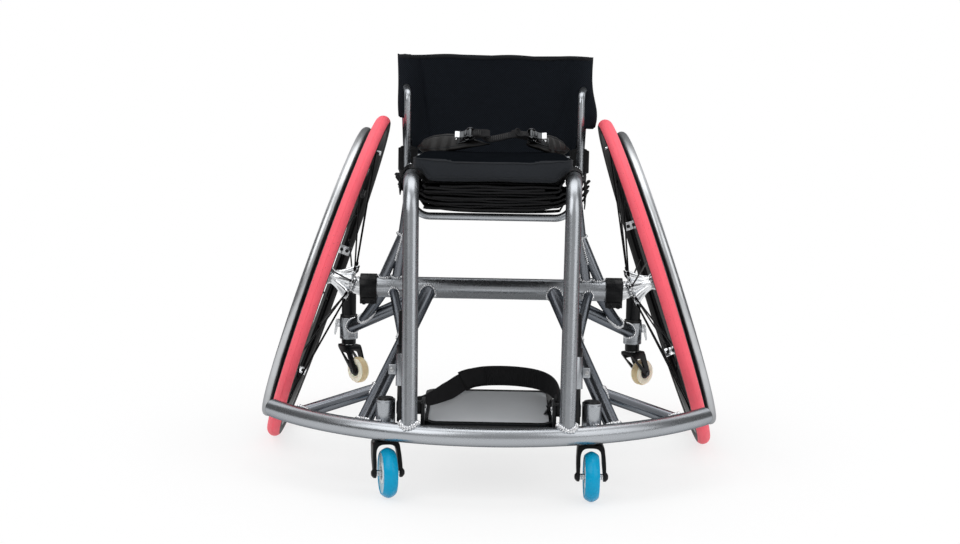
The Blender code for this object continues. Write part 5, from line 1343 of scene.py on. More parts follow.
def make_front_caster(name, side):
    """A fork on a swivel stem, and its wheel on a bolt with two domed nuts."""
    place = place_at(mirror(CASTER_STEM, side), rotation(CASTER_TURN[name]))
    body, node = f"front_caster_{name}", f"caster_fork_{name}"
    spread, thick, axle_z = CASTER_LEG_SPREAD, CASTER_LEG_THICKNESS, CASTER_WHEEL / 2
    start = CASTER_CROWN_Z - thick
    outline = fork_outline()
    rows = []
    for depth, inset in ((-0.5, 0.0010), (-0.43, 0.0), (0.43, 0.0), (0.5, 0.0010)):
        row = []
        for (x, z), (u, v) in zip(outline, outline_normals(outline)):
            drop = clamp((start - z) / (start - axle_z))
            y = depth * (CASTER_LEG_DEPTH + CASTER_CROWN_EXTRA * (1 - drop)) - CASTER_TRAIL * drop
            row.append(Vector((x - u * inset, y, z - v * inset)))
        rows.append(row)
    add_piece(f"{node}_bow", skin(rows), "black_metal", body, node, place, 40)
    axle = place @ place_at((0, -CASTER_TRAIL, axle_z), Z_TO_X)
    add = adder(body, node, axle)
    leg = spread + thick / 2
    eye, foot = CASTER_LEG_DEPTH / 2 - 0.0002, leg - CASTER_LEG_FOOT
    eyes = merged(bar(eye, -leg, -foot, 40, 0.0010), bar(eye, foot, leg, 40, 0.0010))
    add("_eyes", eyes, "black_metal")
    plate, seat = CASTER_HOUSING / 2 - 0.002, CASTER_HOUSING_FOOT - 0.0005
    stem_top = CASTER_HOUSING_TOP - 0.012
    crown_plate = turned([
        (0, start - 0.001), (0.0075, start - 0.001), (0.0075, start + 0.001), (plate, CASTER_CROWN_Z - 0.001),
        (plate, seat - 0.0016), (plate - 0.0012, seat), (0.006, seat), (0.006, stem_top), (0, stem_top),
    ], 48, 0.0004)
    add("_crown", crown_plate, "black_metal", place=place)

    inner = CASTER_WIDTH / 2 - 0.0015
    gap = (foot - inner) / 3

    def nut():
        dome = turned([
            (0, leg), (0.0050, leg), (0.0049, leg + 0.0018), (0.0038, leg + 0.0031), (0, leg + 0.0036),
        ], 32, 0.0006)
        return merged(moved(hex_nut(0.0115, 0.0018), place_at((0, 0, leg - 0.0002))), dome)

    def spacers():
        lows = [inner + gap * k for k in range(3)]
        return merged(*[bar(CASTER_SPACER / 2, low + 0.0001, low + gap - 0.0001, 32, 0.0006) for low in lows])

    add("_nuts", merged(*at_both_ends(nut)), "plastic")
    pin = bar(0.0038, -inner - 0.001, inner + 0.001, 24)
    add("_spacers", merged(*at_both_ends(spacers), pin), "silver", slot="silver")
    make_caster_wheel(name, axle)


def make_caster_wheel(name, axle):
    """A blue tread cast on a pale core, with a bearing in each side."""
    outer, half, bore = CASTER_WHEEL / 2, CASTER_WIDTH / 2, 0.0108
    add = adder(f"front_wheel_{name}", f"caster_wheel_{name}", axle)
    half_profile = [
        (outer * 0.79, half - 0.0026), (outer * 0.81, half - 0.0006), (outer * 0.84, half),
        (outer * 0.90, half - 0.0024), (outer * 0.950, half - 0.0055), (outer * 0.985, half * 0.24),
    ]
    add("_tread", turned(both_sides(half_profile, [(outer, 0)]), 120, 0.0020), "caster")
    core_half, rim = half - 0.0022, outer * 0.80
    core = both_sides([(bore, core_half), (rim - 0.003, core_half), (rim, core_half + 0.0008)])
    add("_core", turned(core, 96, 0.0006), "core")
    face = core_half - 0.0003

    def bearing():
        return merged(
            washer(0.0088, 0.0109, face - 0.006, face, 64),
            washer(0.0057, 0.0086, face - 0.006, face - 0.0006, 64, 0.0002),
            washer(0.0040, 0.0058, face - 0.006, face + 0.0002, 64))

    rings = at_both_ends(lambda: washer(0.0109, 0.0172, core_half - 0.002, core_half + 0.0012, 72, 0.0008))
    add("_rings", merged(*rings), "core_ring")
    add("_bearings", merged(*at_both_ends(bearing)), "steel", slot="silver")


def make_tip_arm(name, side, made):
    """The stem's clamped housing on its two tubes from the camber tube."""
    low, high, radius, bore = TIP_HOUSING_FOOT, TIP_HOUSING_TOP, TIP_HOUSING / 2, TIP_STEM / 2 + PLAY
    centre = Vector((side * TIP_X, TIP_Y, (low + high) / 2))
    place = place_at((centre.x, centre.y, 0))
    add = adder("frame", f"anti_tip_arm_{name}", place)
    ring = turned([
        (bore, low), (radius, low), (radius, low + 0.005), (radius - 0.0007, low + 0.0056),
        (radius, low + 0.0062), (radius, high), (bore, high),
    ], 64, 0.0006)
    housing = add("_housing", ring, "frame")
    arm_end = Vector((side * TIP_ARM_X, 0, CAMBER_TUBE_Z - TIP_ARM_DROP))
    inward = (arm_end - centre).normalized()
    # The arm and its strut take the darker copy of the frame paint, a painted shade.
    arm = add("_tube", tube([centre + inward * (radius - 0.001), arm_end], TIP_ARM), "frame_deep", place=None)
    strut_start = centre.lerp(arm_end, TIP_STRUT_AT)
    strut_end = Vector((side * TIP_STRUT_X, 0, CAMBER_TUBE_Z))
    add("_strut", tube([strut_start, strut_end], TIP_STRUT), "frame_deep", place=None)
    arm_middle, strut_middle = centre.lerp(arm_end, 0.5), strut_start.lerp(strut_end, 0.5)
    weld(f"weld_tip_arm_{name}", arm_middle, arm_end, TIP_ARM, made["camber"])
    weld(f"weld_tip_housing_{name}", arm_middle, centre, TIP_ARM, housing)
    weld(f"weld_tip_strut_{name}", strut_middle, strut_start, TIP_STRUT, arm)
    weld(f"weld_tip_strut_end_{name}", strut_middle, strut_end, TIP_STRUT, made["camber"])
    pivot = Vector((side * (radius + LEVER_REACH), 0, low + LEVER_RISE))
    lugs = [block((0.0085, 0.0026, 0.014), 0.0008, (side * (radius + 0.0035), shift * 0.0068, pivot.z))
            for shift in (-1, 1)]
    lugs.append(moved(bar(0.0016, -0.0088, 0.0088, 20), place_at(pivot, Z_TO_FRONT)))
    add("_lugs", merged(*lugs), "silver", slot="frame")
    wiper = turned([
        (bore, high + PLAY), (radius - 0.001, high + PLAY), (radius - 0.0004, high + 0.0018),
        (radius - 0.0012, high + 0.0030), (radius - 0.0004, high + 0.0042), (radius - 0.0014, high + 0.0054),
        (bore, high + 0.0054),
    ], 56, 0.0005)
    add("_wiper", wiper, "plastic")


def make_tip_lever(name, side):
    """The cam lever of the housing's clamp: a dished oval plate on its hinge."""
    length, thick, half = LEVER_LENGTH, 0.0032, LEVER_WIDTH / 2
    outline = arc(thick * 0.75, 0, pi, 24) + [
        (-thick * 0.6, -length * 0.3), (-thick * 0.3, -length * 0.62), (thick * 0.4, -length * 0.9),
        (0.0018, -length), (0.0042, -length + 0.0004), (thick * 1.15, -length * 0.62),
        (thick * 0.75, -length * 0.3),
    ]
    smooth = soften(outline, 0.003, True, 4)
    rings = []
    for i in range(17):
        share = i / 8 - 1
        rings.append([
            Vector((x, y * (1 - (0.12 * share ** 2 if y < 0 else 0.35 * share ** 4)), half * share))
            for x, y in smooth])
    upright = Matrix(((side, 0, 0, 0), (0, 0, -1, 0), (0, 1, 0, 0), (0, 0, 0, 1)))
    pivot = Vector((side * (TIP_X + TIP_HOUSING / 2 + LEVER_REACH), TIP_Y, TIP_HOUSING_FOOT + LEVER_RISE))
    add_piece(
        f"anti_tip_lever_{name}_skin", skin(rings), "silver", f"tip_clamp_{name}", f"anti_tip_lever_{name}",
        place_at(pivot, upright))


def make_tip_stem(name, side):
    radius, foot, top = TIP_STEM / 2, TIP_STEM_FOOT, TIP_STEM_TOP
    shape = turned([
        (0, foot + 0.042), (0.0053, foot + 0.042), (0.0053, foot), (radius - 0.001, foot),
        (radius, foot + 0.001), (radius, top - 0.004), (radius - 0.0005, top - 0.0035),
        (radius, top - 0.0030), (radius, top - 0.0015), (radius - 0.0015, top), (radius - 0.004, top),
        (radius - 0.0048, top - 0.001), (0, top - 0.001),
    ], 56, 0.0004)
    place = place_at((side * TIP_X, TIP_Y, -TIP_LOWER[name]))
    node = f"anti_tip_stem_{name}"
    add_piece(f"{node}_skin", shape, "black_metal", f"tip_stem_{name}", node, place)


def make_tip_caster(name, side):
    """A fork with a window in each leg, and a stepped cream wheel."""
    place = place_at(
        (side * TIP_X, TIP_Y, TIP_STEM_FOOT - 0.0015 - TIP_LOWER[name]), rotation(TIP_TURN[name]))
    upright = place @ Z_TO_FRONT
    back, front, eye, shoulder, window_depth = -0.016, 0.020, 0.0075, -0.006, 0.05
    outline = [(back, 0), (front, 0), (front + 0.004, shoulder)]
    outline += arc(eye, radians(30), radians(-170), 24, (TIP_TRAIL, -TIP_DROP)) + [(back, shoulder)]
    leg = TIP_WHEEL_WIDTH / 2 + 0.0005 + TIP_FORK_WALL
    add = adder(f"tip_caster_{name}", f"anti_tip_fork_{name}", place)
    fork = add("_skin", prism(soften(outline, 0.002, True), -leg, leg, 0.0009), "black_metal", place=upright)
    inside = block((0.2, 2 * (leg - TIP_FORK_WALL), 0.2), 0, (0, 0, shoulder - 0.1))
    corners = [(-0.0050, -0.0145), (0.0125, -0.0145), (0.0240, -0.0365)]
    window = prism(soften(corners, 0.003, True, 5), -window_depth, window_depth)
    carve(fork, moved(inside, place), moved(window, upright))
    pin = turned([
        (0, -0.002), (0.012, -0.002), (0.012, 0.0010), (0.0112, 0.0014), (0.005, 0.0014), (0.005, 0.040),
        (0, 0.040),
    ], 40, 0.0003)
    add("_pin", pin, "steel", slot="black_metal")
    axle = place @ place_at((TIP_TRAIL, 0, -TIP_DROP), Z_TO_FRONT)
    heads = at_both_ends(lambda: moved(socket_screw(0.0096, 0.0017, 0.5), place_at((0, 0, leg - 0.0002))))
    add("_axle", merged(bar(0.0038, -leg, leg, 24), *heads), "dark_steel", place=axle, slot="black_metal")

    outer, half = TIP_WHEEL / 2, TIP_WHEEL_WIDTH / 2
    step, tread_half = outer * 0.91, half - 0.0034
    add = adder(f"tip_wheel_{name}", f"anti_tip_wheel_{name}", axle)
    tread = [(step - 0.002, tread_half), (outer - 0.0014, tread_half), (outer, tread_half - 0.0018)]
    disc = [
        (0.0104, half - 0.0020), (outer * 0.54, half - 0.0020), (outer * 0.60, half - 0.0004),
        (step - 0.0012, half), (step, half - 0.0014), (step, half - 0.0060),
    ]
    hub = [(0.0043, half + 0.0003), (0.0098, half + 0.0003), (0.0114, half - 0.0012)]
    add("_tread", turned(both_sides(tread), 96, 0.0010), "tan")
    add("_disc", turned(both_sides(disc), 96, 0.0009), "cream")
    add("_hub", turned(both_sides(hub), 64, 0.0006), "plastic", slot="tip_wheel")


def bracket_back():
    """The Y of the rear face of the brackets between the hangers and the tray."""
    return hanger_point(1, BRACKET_Z + BRACKET_HEIGHT / 2).y + HANGER_TUBE / 2 + 0.002


def footplate_place():
    return place_at((0, PLATE_FRONT_Y, PLATE_FRONT_Z), rotation(PLATE_TILT, "X"))


def plate_prism(inset, low, high, bevel=0.0):
    """A slab with the footplate's outline, drawn in on all sides."""
    corner = PLATE_CORNER - (0.005 if inset else 0)
    front_inset = inset and inset - 0.004
    outline = rounded_box(
        PLATE_HALF_WIDTH - inset, front_inset, PLATE_REAR_Y - PLATE_FRONT_Y - front_inset, corner, 10)
    return prism(outline, low, high, bevel)


def make_footrest():
    """Sleeves on the front tubes, hangers that slide in them, and the tray with its sheet."""
    upwards, _, _ = hanger_line()
    for name, side in SIDES:
        make_footrest_sleeve(name, side, upwards)
        make_hanger(name, side, upwards)
    add = adder("footrest", "footplate_tray", footplate_place())
    tray = add("_skin", plate_prism(0, 0, 0.010, 0.0014), "plate_edge")
    carve(tray, moved(plate_prism(0.010, 0.007, 0.05), footplate_place()))
    sheet = plate_prism(0.0103, 0.0073, 0.0085, 0.0003)
    add_piece("footplate_sheet", sheet, "plate", "footrest", "footplate", footplate_place())


def make_footrest_sleeve(name, side, upwards):
    inner = HANGER_TUBE / 2 + PLAY
    outer, length = inner + SLEEVE_WALL, (SLEEVE_TOP_Z - SLEEVE_FOOT_Z) / upwards.z
    place = place_at(hanger_point(side, SLEEVE_FOOT_Z), frame_along(upwards, Vector((0, 1, 0))))
    add = adder("frame", f"footrest_sleeve_{name}", place)
    add("_ring", washer(inner, outer, 0, length, 56, 0.0007), "frame")
    lug_y, lug_gap, screw_reach = 0.006, 0.0030, 0.0050
    lug_x, lug_size = side * (outer + 0.005), (0.014, 0.0042, 0.016)
    lugs = [block(lug_size, 0.0012, (lug_x, lug_y + gap, length / 2)) for gap in (-lug_gap, lug_gap)]
    at = Vector((side * (outer + 0.006), lug_y, length / 2))
    shift = Vector((0, screw_reach, 0))
    screw = merged(
        moved(bar(0.0024, -0.012, 0.012, 24), place_at(at, Z_TO_FRONT)),
        moved(socket_screw(0.0074, 0.0048, 0.55), place_at(at - shift, Z_TO_FRONT)),
        moved(hex_nut(0.0070, 0.0040, 0.0030), place_at(at + shift, rotation(-pi / 2, "X"))))
    add("_lugs", merged(*lugs), "frame")
    add("_screw", screw, "steel", slot="silver")
    weld_sleeve(name, side, upwards)


def make_hanger(name, side, upwards):
    """A hanger with its collar, and the bracket at its foot that carries the tray."""
    radius = HANGER_TUBE / 2
    span, collar = (
        (z - HANGER_FOOT_Z) / upwards.z for z in (HANGER_TOP_Z, SLEEVE_TOP_Z + 0.0005))
    wide, collar_top = radius + 0.0022, collar + COLLAR_HEIGHT
    place = place_at(hanger_point(side, HANGER_FOOT_Z), frame_along(upwards, Vector((0, 1, 0))))
    add = adder("footrest", "footplate_tray", place)
    rod = turned([
        (0, -0.001), (radius - 0.001, 0), (radius, 0.001), (radius, collar), (wide, collar),
        (wide, collar_top), (radius, collar_top), (radius, span - 0.002), (radius - 0.002, span),
        (0, span + 0.0004),
    ], 48, 0.0006)
    add(f"footrest_hanger_{name}", rod, "black_metal")
    grub_place = place_at((0, wide - 0.0004, collar + COLLAR_HEIGHT / 2), rotation(-pi / 2, "X"))
    add(f"collar_screw_{name}", moved(socket_screw(0.0058, 0.0012, 0.55), grub_place), "steel", slot="silver")

    middle = hanger_point(side, BRACKET_Z + BRACKET_HEIGHT / 2)
    near, far = PLATE_HALF_WIDTH - 0.004, HANGER_X + radius + 0.001
    cheek_y = middle.y + 0.014
    depth = bracket_back() - middle.y + 0.002
    ear_middle = (side * (far + near) / 2, bracket_back() - depth / 2, middle.z)
    ear = block((far - near, depth, BRACKET_HEIGHT), 0.0016, ear_middle)
    cheek = block((0.006, 0.050, 0.042), 0.0014, (side * (near + 0.001), cheek_y, middle.z - 0.011))
    add(f"footrest_bracket_{name}", merged(ear, cheek), "black_metal", place=None, sharp=40)
    bolts = []
    for shift in (-0.012, 0.014):
        at = Vector((side * (near - 0.0018), cheek_y + shift, middle.z - 0.004))
        bolts.append(moved(socket_screw(0.0078, 0.0022, 0.5), place_at(at, rotation(-side * pi / 2, "Y"))))
    add(f"bracket_screws_{name}", merged(*bolts), "steel", place=None, slot="silver")


def weld_sleeve(name, side, upwards):
    """Two beads along the line where the sleeve lies on the front tube."""
    _, knee, foot = front_corners(side)
    for label, shift in (("inner", -1), ("outer", 1)):
        points = []
        for n in range(13):
            z = SLEEVE_FOOT_Z + 0.004 + (SLEEVE_TOP_Z - SLEEVE_FOOT_Z - 0.008) * n / 12
            centre = hanger_point(side, z)
            tube_at = foot.lerp(knee, (z - foot.z) / (knee.z - foot.z))
            middle = centre.lerp(tube_at, 0.52)
            across = (tube_at - centre).cross(upwards).normalized()
            points.append(middle + across * shift * 0.0052)
        path = smooth_path(points, 3)
        rng = random.Random(f"{name}{label}")
        swell = [rng.uniform(0.85, 1.15) for _ in path]

        def size(i):
            end = min(i, len(path) - 1 - i)
            grow = 0.4 + 0.6 * min(end / 3, 1)
            ripple = grow * swell[i] * (0.75 + 0.4 * abs(sin(i * 1.1)))
            return ripple, ripple

        bead = sweep(path, circle(0.0031, 10), size=size)
        # Bright metal on these beads is a painted glint, as on the other welds.
        add_piece(f"weld_sleeve_{name}_{label}", bead, "weld", "frame", sharp=60)


def seat_drop(y):
    """How far the seat rails have fallen at y, from the front of the cushion."""
    return on_seat_rail(1, CUSHION_FRONT_Y).z - on_seat_rail(1, y).z


def cushion_foot(x, y):
    """The cushion's underside: it lies on the rails and hangs a little between them."""
    rail = on_seat_rail(1, y)
    inner = rail.x - FRONT_TUBE / 2
    top = rail.z + FRONT_TUBE / 2 + SLING_WEB + 0.0004
    middle = CUSHION_SEAT_Z - seat_drop(y) - CUSHION_SINK
    share = clamp((abs(x) / inner - 0.90) / 0.085)
    return middle + (top - middle) * share * share * (3 - 2 * share)


def cushion_top(x, y):
    along = (y - CUSHION_FRONT_Y) / (CUSHION_REAR_Y - CUSHION_FRONT_Y)
    across = abs(x) / CUSHION_HALF_WIDTH
    crown = CUSHION_CROWN * (1 - min(across, 1) ** 2) * sin(pi * clamp(along)) ** 0.5
    return CUSHION_SEAT_Z + CUSHION_THICKNESS - seat_drop(y) + crown + CUSHION_SAG * (across ** 2 - 0.35)


def cushion_outline(inset):
    """The cushion's edge from above: sides that draw in a little between rounded corners."""
    half, front, rear = CUSHION_HALF_WIDTH - inset, CUSHION_FRONT_Y + inset, CUSHION_REAR_Y - inset
    middle = (CUSHION_FRONT_Y + CUSHION_REAR_Y) / 2
    points, steps = [], 8
    for x, y, start in ((half, front, -90), (half, rear, 0), (-half, rear, 90), (-half, front, 180)):
        corner = CUSHION_CORNER if y == front else -CUSHION_CORNER
        centre = Vector((x - copysign(CUSHION_CORNER, x), y + corner, 0))
        for i in range(steps + 1):
            turn = radians(start + 90 * i / steps)
            points.append(centre + Vector((cos(turn), sin(turn), 0)) * CUSHION_CORNER)
    loop = even(points + points[:1], 0.004)[:-1]
    for p in loop:
        along = (p.y - middle) / (rear - front) * 2
        p.x -= copysign(0.004 * max(1 - along ** 2, 0), p.x) * min(abs(p.x) / half, 1)
    return loop


def cushion_shape(inset):
    """Rings of the edge from the underside to the top, closed by two grids of shrunken rings."""
    middle, edge = (CUSHION_FRONT_Y + CUSHION_REAR_Y) / 2, 0.0045
    outline = cushion_outline(inset)
    rings = [
        [Vector((p.x * share, middle + (p.y - middle) * share, 0)) for p in outline]
        for share in (0.05, 0.3, 0.55, 0.75, 0.9)]
    bottom = [[Vector((p.x, p.y, cushion_foot(p.x, p.y) + inset)) for p in ring] for ring in rings]
    top = [[Vector((p.x, p.y, cushion_top(p.x, p.y) - inset)) for p in ring] for ring in reversed(rings)]
    sides = []
    for n in range(9):
        turn = -pi / 2 + pi * n / 8
        pull = edge * (1 - abs(cos(turn)) ** 0.55)
        lift = (sin(turn) + 1) / 2
        ring = []
        for p in outline:
            inwards = Vector((-copysign(min(abs(p.x) / 0.02, 1), p.x), 0, 0))
            x = p.x + inwards.x * pull
            y = p.y + copysign(pull, middle - p.y) * near_end(p.y)
            low, high = cushion_foot(x, y) + inset, cushion_top(x, y) - inset
            ring.append(Vector((x, y, low + (high - low) * lift)))
        sides.append(ring)
    return skin(bottom + sides + top)


def near_end(y):
    """1 at the cushion's front and rear edges, and 0 along its sides."""
    return clamp(1 - min(y - CUSHION_FRONT_Y, CUSHION_REAR_Y - y) / 0.02)


def inflate(piece, cap):
    """Swells a padded piece by cloth simulation, no point by more than cap, and smooths it."""
    remesh = piece.modifiers.new("Remesh", "REMESH")
    remesh.mode, remesh.voxel_size = "VOXEL", CLOTH_VOXEL
    apply_modifiers(piece)
    start = [v.co.copy() for v in piece.data.vertices]
    cloth = piece.modifiers.new("Cloth", "CLOTH")
    cloth.settings.use_pressure = True
    cloth.settings.uniform_pressure_force = CLOTH_PRESSURE
    cloth.settings.effector_weights.gravity = 0
    scene = bpy.context.scene
    for number in range(1, CLOTH_FRAMES + 1):
        scene.frame_set(number)
    moved_points = piece.evaluated_get(bpy.context.evaluated_depsgraph_get()).data.vertices
    ends = [v.co.copy() for v in moved_points]
    piece.modifiers.clear()
    for vertex, before, after in zip(piece.data.vertices, start, ends):
        step = after - before
        vertex.co = before + step * min(1, cap / max(step.length, 1e-9))
    scene.frame_set(1)
    smooth = piece.modifiers.new("Smooth", "SUBSURF")
    smooth.levels = smooth.render_levels = 1
    apply_modifiers(piece)


def hug(points, tree, lift):
    """The points moved onto the surface, in the piece's own frame, and lifted off it."""
    shift = Vector((0, AXLE_Y, 0))
    made = []
    for point in points:
        place, normal, _, _ = tree.find_nearest(point + shift)
        made.append(place + normal * lift - shift)
    return made


def make_cushion():
    """A box cushion: its cover is sewn of a top, a bottom and a band, with a corded seam at both edges."""
    add = adder("frame", "seat_cushion")
    cushion = add("seat_cushion_cover", cushion_shape(COVER_INSET), "cushion", sharp=60)
    inflate(cushion, COVER_SWELL)
    cushion.data.materials.append(MATERIALS["cushion_top"])
    for face in cushion.data.polygons:
        face.material_index = 1 if face.normal.z > TOP_FACING else 0
    tree = surface(cushion)
    for label, share in (("top", 0.9), ("foot", 0.1)):
        loop = []
        for p in cushion_outline(0.0008):
            low, high = cushion_foot(p.x, p.y), cushion_top(p.x, p.y)
            loop.append(Vector((p.x, p.y, low + (high - low) * share)))
        route = hug(even(loop + loop[:1], 0.003)[:-1], tree, 0.0003)
        cord = sweep(route, circle(SEAM_CORD / 2, 8), loop=True)
        add(f"cushion_seam_{label}", cord, "seam", sharp=60)


def sling_layer(y, share):
    """A layer's height over x at depth y: share 0 lies under the cushion, 1 is the lowest web."""
    rail = on_seat_rail(1, y)
    half = rail.x - FRONT_TUBE / 2

    def height(x):
        s = min(abs(x) / half, 1)
        high = min(cushion_foot(x, y) - 0.0035, rail.z + 0.004)
        rise = 0.004 if x > 0 else 0.010
        low = CUSHION_SEAT_Z - seat_drop(y) - SLING_DROP - 0.0030
        low += rise * s ** 4 + 0.003 * max(-x / half, 0) ** 2
        return high + (low - high) * share
    return height


def strap_loop(y, depth, over):
    """A strap's way: over both rails and back along its lowest web, or down inside the rails."""
    rail = on_seat_rail(1, y)
    inner = (rail.x - FRONT_TUBE / 2 - 0.002) * 0.93
    upper, lower = sling_layer(y, 0.0), sling_layer(y, depth)
    points = []
    if over:
        ends = ((1, upper, 128, -15, 14), (-1, lower, 262, -15, 14))
    else:
        ends = ((1, upper, 150, 15, 7), (-1, lower, 285, 15, 7))
    for side, level, start, step, count in ends:
        for i in range(41):
            x = side * inner * (i / 20 - 1)
            points.append(Vector((x, y, level(x))))
        turns = arc(STRAP_TURN, radians(start), radians(start + step * count), count, (side * rail.x, rail.z))
        points += [Vector((x, y, z)) for x, z in turns]
    return even(points + points[:1], 0.004)[:-1]


def strap_ends(name, side, y, k, width, across, over):
    """A low strap's turn round its rail, and the ragged end that hangs outside."""
    rail = on_seat_rail(side, y)
    parts = []
    if not over:
        turns = arc(STRAP_TURN, radians(-104), radians(13), 13)
        hug_path = [rail + Vector((side * x, 0, z)) for x, z in turns]
        parts.append(sweep(hug_path, strap_section(width, SLING_WEB), across=across))
    if k < len(TAIL_DROP[name]):
        drop, out = TAIL_DROP[name][k], TAIL_OUT[name]
        top = rail + Vector((side * (STRAP_TURN + SLING_WEB + 0.0002), 0, 0.004))
        for n in range(2):
            reach = drop * (1 - 0.28 * n)
            route = (
                (0.0022 * n, 0, 0), (out * 0.55, 0.002 * n, -reach * 0.35),
                (out + 0.0015 * n, -0.003 * n, -reach * 0.75), (out * (0.8 - 0.5 * n), 0.002, -reach))
            tail = smooth_path([top + mirror(shift, side) for shift in route], 6)
            parts.append(sweep(tail, strap_section(width * (0.84 - 0.2 * n), 0.0021), across=across))
    return parts


def make_sling():
    """Tension straps round both seat rails. Each is a loop, with its loose ends folded in between."""
    rng = random.Random(7)
    start = CUSHION_FRONT_Y + 0.022
    pitch = (CUSHION_REAR_Y - 0.004 - start) / SEAT_STRAPS
    width = pitch - 0.004
    rail_way = (on_seat_rail(1, 0) - on_seat_rail(1, -0.3)).normalized()

    def across(i):
        return rail_way

    for k in range(SEAT_STRAPS):
        y = start + pitch * (k + 0.5)
        inner = on_seat_rail(1, y).x - FRONT_TUBE / 2 - 0.002
        depth = 1.0 if k == 0 else rng.uniform(0.88, 0.96)
        over = k >= LOW_STRAPS
        web = sweep(strap_loop(y, depth, over), strap_section(width, SLING_WEB), loop=True, across=across)
        parts = [web]
        for name, side in SIDES:
            parts += strap_ends(name, side, y, k, width, across, over)
        add_piece(f"seat_strap_{k + 1}", merged(*parts), "webbing", "frame", "seat_sling", sharp=50)
        count = 9 if k == 0 else 7
        leaves = []
        for n in range(count):
            share = (n + 1 + (0.5 if k % 2 else 0)) / (count + 1) * depth + rng.uniform(-0.012, 0.012)
            level = sling_layer(y, min(share, 0.95))
            shift = rng.uniform(-0.004, 0.004) - (0.010 if k == 0 else 0)
            first, last = rng.uniform(0.92, 0.985), rng.uniform(0.70, 0.985)
            if share > 0.5:
                first, last = first * 1.08, last * 1.05
            side, wave = (1 if n % 2 else -1), rng.uniform(0.0003, 0.0012)
            flap = []
            for i in range(41):
                x = inner * (-first + (first + last) * i / 40)
                flap.append(Vector((side * x, y + shift, level(x) + wave * sin(x * 70 + n * 2))))
            leaves.append(sweep(flap, strap_section(width, 0.0034), across=across))
        add_piece(f"strap_ends_{k + 1}", merged(*leaves), "webbing", "frame", "seat_sling", sharp=50)


def back_height(z):
    return (z - BACK_FOOT) / (BACK_TOP - BACK_FOOT)


def back_hollow(x, z):
    """The back sheet's Y: it hollows backwards between the canes, and clears the bar at its foot."""
    height = max(back_height(z), 0)
    share = 1 - min(abs(x) / cane_x(z), 1) ** 2
    y = CANE_Y + BACK_SAG * share * (0.55 + 1.5 * height * (1 - height))
    low = clamp((BACK_BAR_Z + BACK_BAR + 0.012 - z) / 0.02)
    return y + max(CANE_Y + BACK_BAR / 2 + 0.0025 - y, 0) * low


def back_folds(x, z):
    """The slack sheet's creases: one beside the right cane, and a pull to the upper left corner."""
    height = clamp(back_height(z))
    half = cane_x(z)
    fold = noise.noise(Vector((x * 14, z * 9, 3.1))) * 0.0022 * sin(pi * height) ** 0.5
    for side, inset, drift, depth, width in BACK_FOLDS:
        crease = side * (half - inset - drift * (1 - height))
        strength = 0.35 + 0.65 * height if side < 0 else height ** 0.7
        fold += depth * exp(-((x - crease) / width) ** 2) * strength
    return fold


def back_point(s, z):
    """A point of the sheet's middle surface. Past s 1 and -1 it turns round the canes."""
    side, reach = copysign(1, s), abs(s)
    half, front = cane_x(z), CANE_TUBE / 2 + BACK_CLEAR
    if reach <= 1:
        x = s * half
        near = eased((reach - 0.80) / 0.20)
        y = back_hollow(x, z) + back_folds(x, z) * (1 - near)
        return Vector((x, y + (CANE_Y - front - y) * near, z))
    turn = (reach - 1) / (BACK_WRAP - 1) * radians(112)
    bag = pocket_bag(side, z) * max(sin(turn), 0) ** 2
    radius = front + bag
    return Vector((side * (half + radius * sin(turn)), CANE_Y - radius * cos(turn), z))


def pocket_bag(side, z):
    """How far a pocket bags outboard above its foot."""
    name = "left" if side > 0 else "right"
    foot = POCKET_FOOT[name]
    t = (z - foot) / (BACK_TOP - foot)
    return POCKET_SPREAD[name] * exp(-((t - 0.14) / 0.34) ** 2) if t > -0.1 else 0.0


def back_ripple(s):
    """How far the top edge rises and falls along the sheet."""
    return 0.0012 * sin(9 * s)


def make_back():
    """The sheet, the pockets that hold it on the canes, and its two lower bands."""
    columns, rows = 168, 64
    low = BACK_BAR_Z - 0.009
    spans = [BACK_WRAP * (2 * i / columns - 1) for i in range(columns + 1)]
    rings = []
    for j in range(rows + 1):
        share = j / rows
        front, rear = [], []
        for i, s in enumerate(spans):
            foot = low
            if abs(s) > 0.93:
                name = "left" if s > 0 else "right"
                foot += (POCKET_FOOT[name] - low) * min((abs(s) - 0.93) / 0.05, 1)
            lip = back_ripple(s) * share
            z = foot + (BACK_TOP - foot) * share
            point = back_point(s, z)
            near, far = (back_point(spans[min(max(i + n, 0), columns)], z) for n in (-1, 1))
            normal = Vector((far.y - near.y, near.x - far.x, 0)).normalized()
            taper = 0.35 + 0.65 * min(1, (BACK_WRAP - abs(s)) * 14, j / 2 + 0.2)
            front.append(point + normal * BACK_THICKNESS / 2 * taper + UP * lip)
            rear.append(point - normal * BACK_THICKNESS / 2 * taper + UP * lip)
        rings.append(front + rear[::-1])
    sheet = add_piece("back_sheet", skin(rings), "mesh", "frame", "back_sling", sharp=50)
    hem_path = []
    for s in spans[3:-3]:
        hem_path.append(back_point(s, BACK_TOP - 0.0034) + UP * back_ripple(s))

    def hem_size(i):
        end = min(i, len(hem_path) - 1 - i)
        return min(1, 0.5 + end / 6), min(1, 0.4 + end / 6)

    section = rounded_box(0.00375, -0.0026, 0.0026, 0.0025)
    hem = sweep(hem_path, section, across=lambda i: UP, size=hem_size)
    hem_piece = add_piece("back_hem", hem, "binding", "frame", "back_sling", sharp=60)
    for name, side in SIDES:
        make_pocket(name, side)
        make_back_bands(name, side)


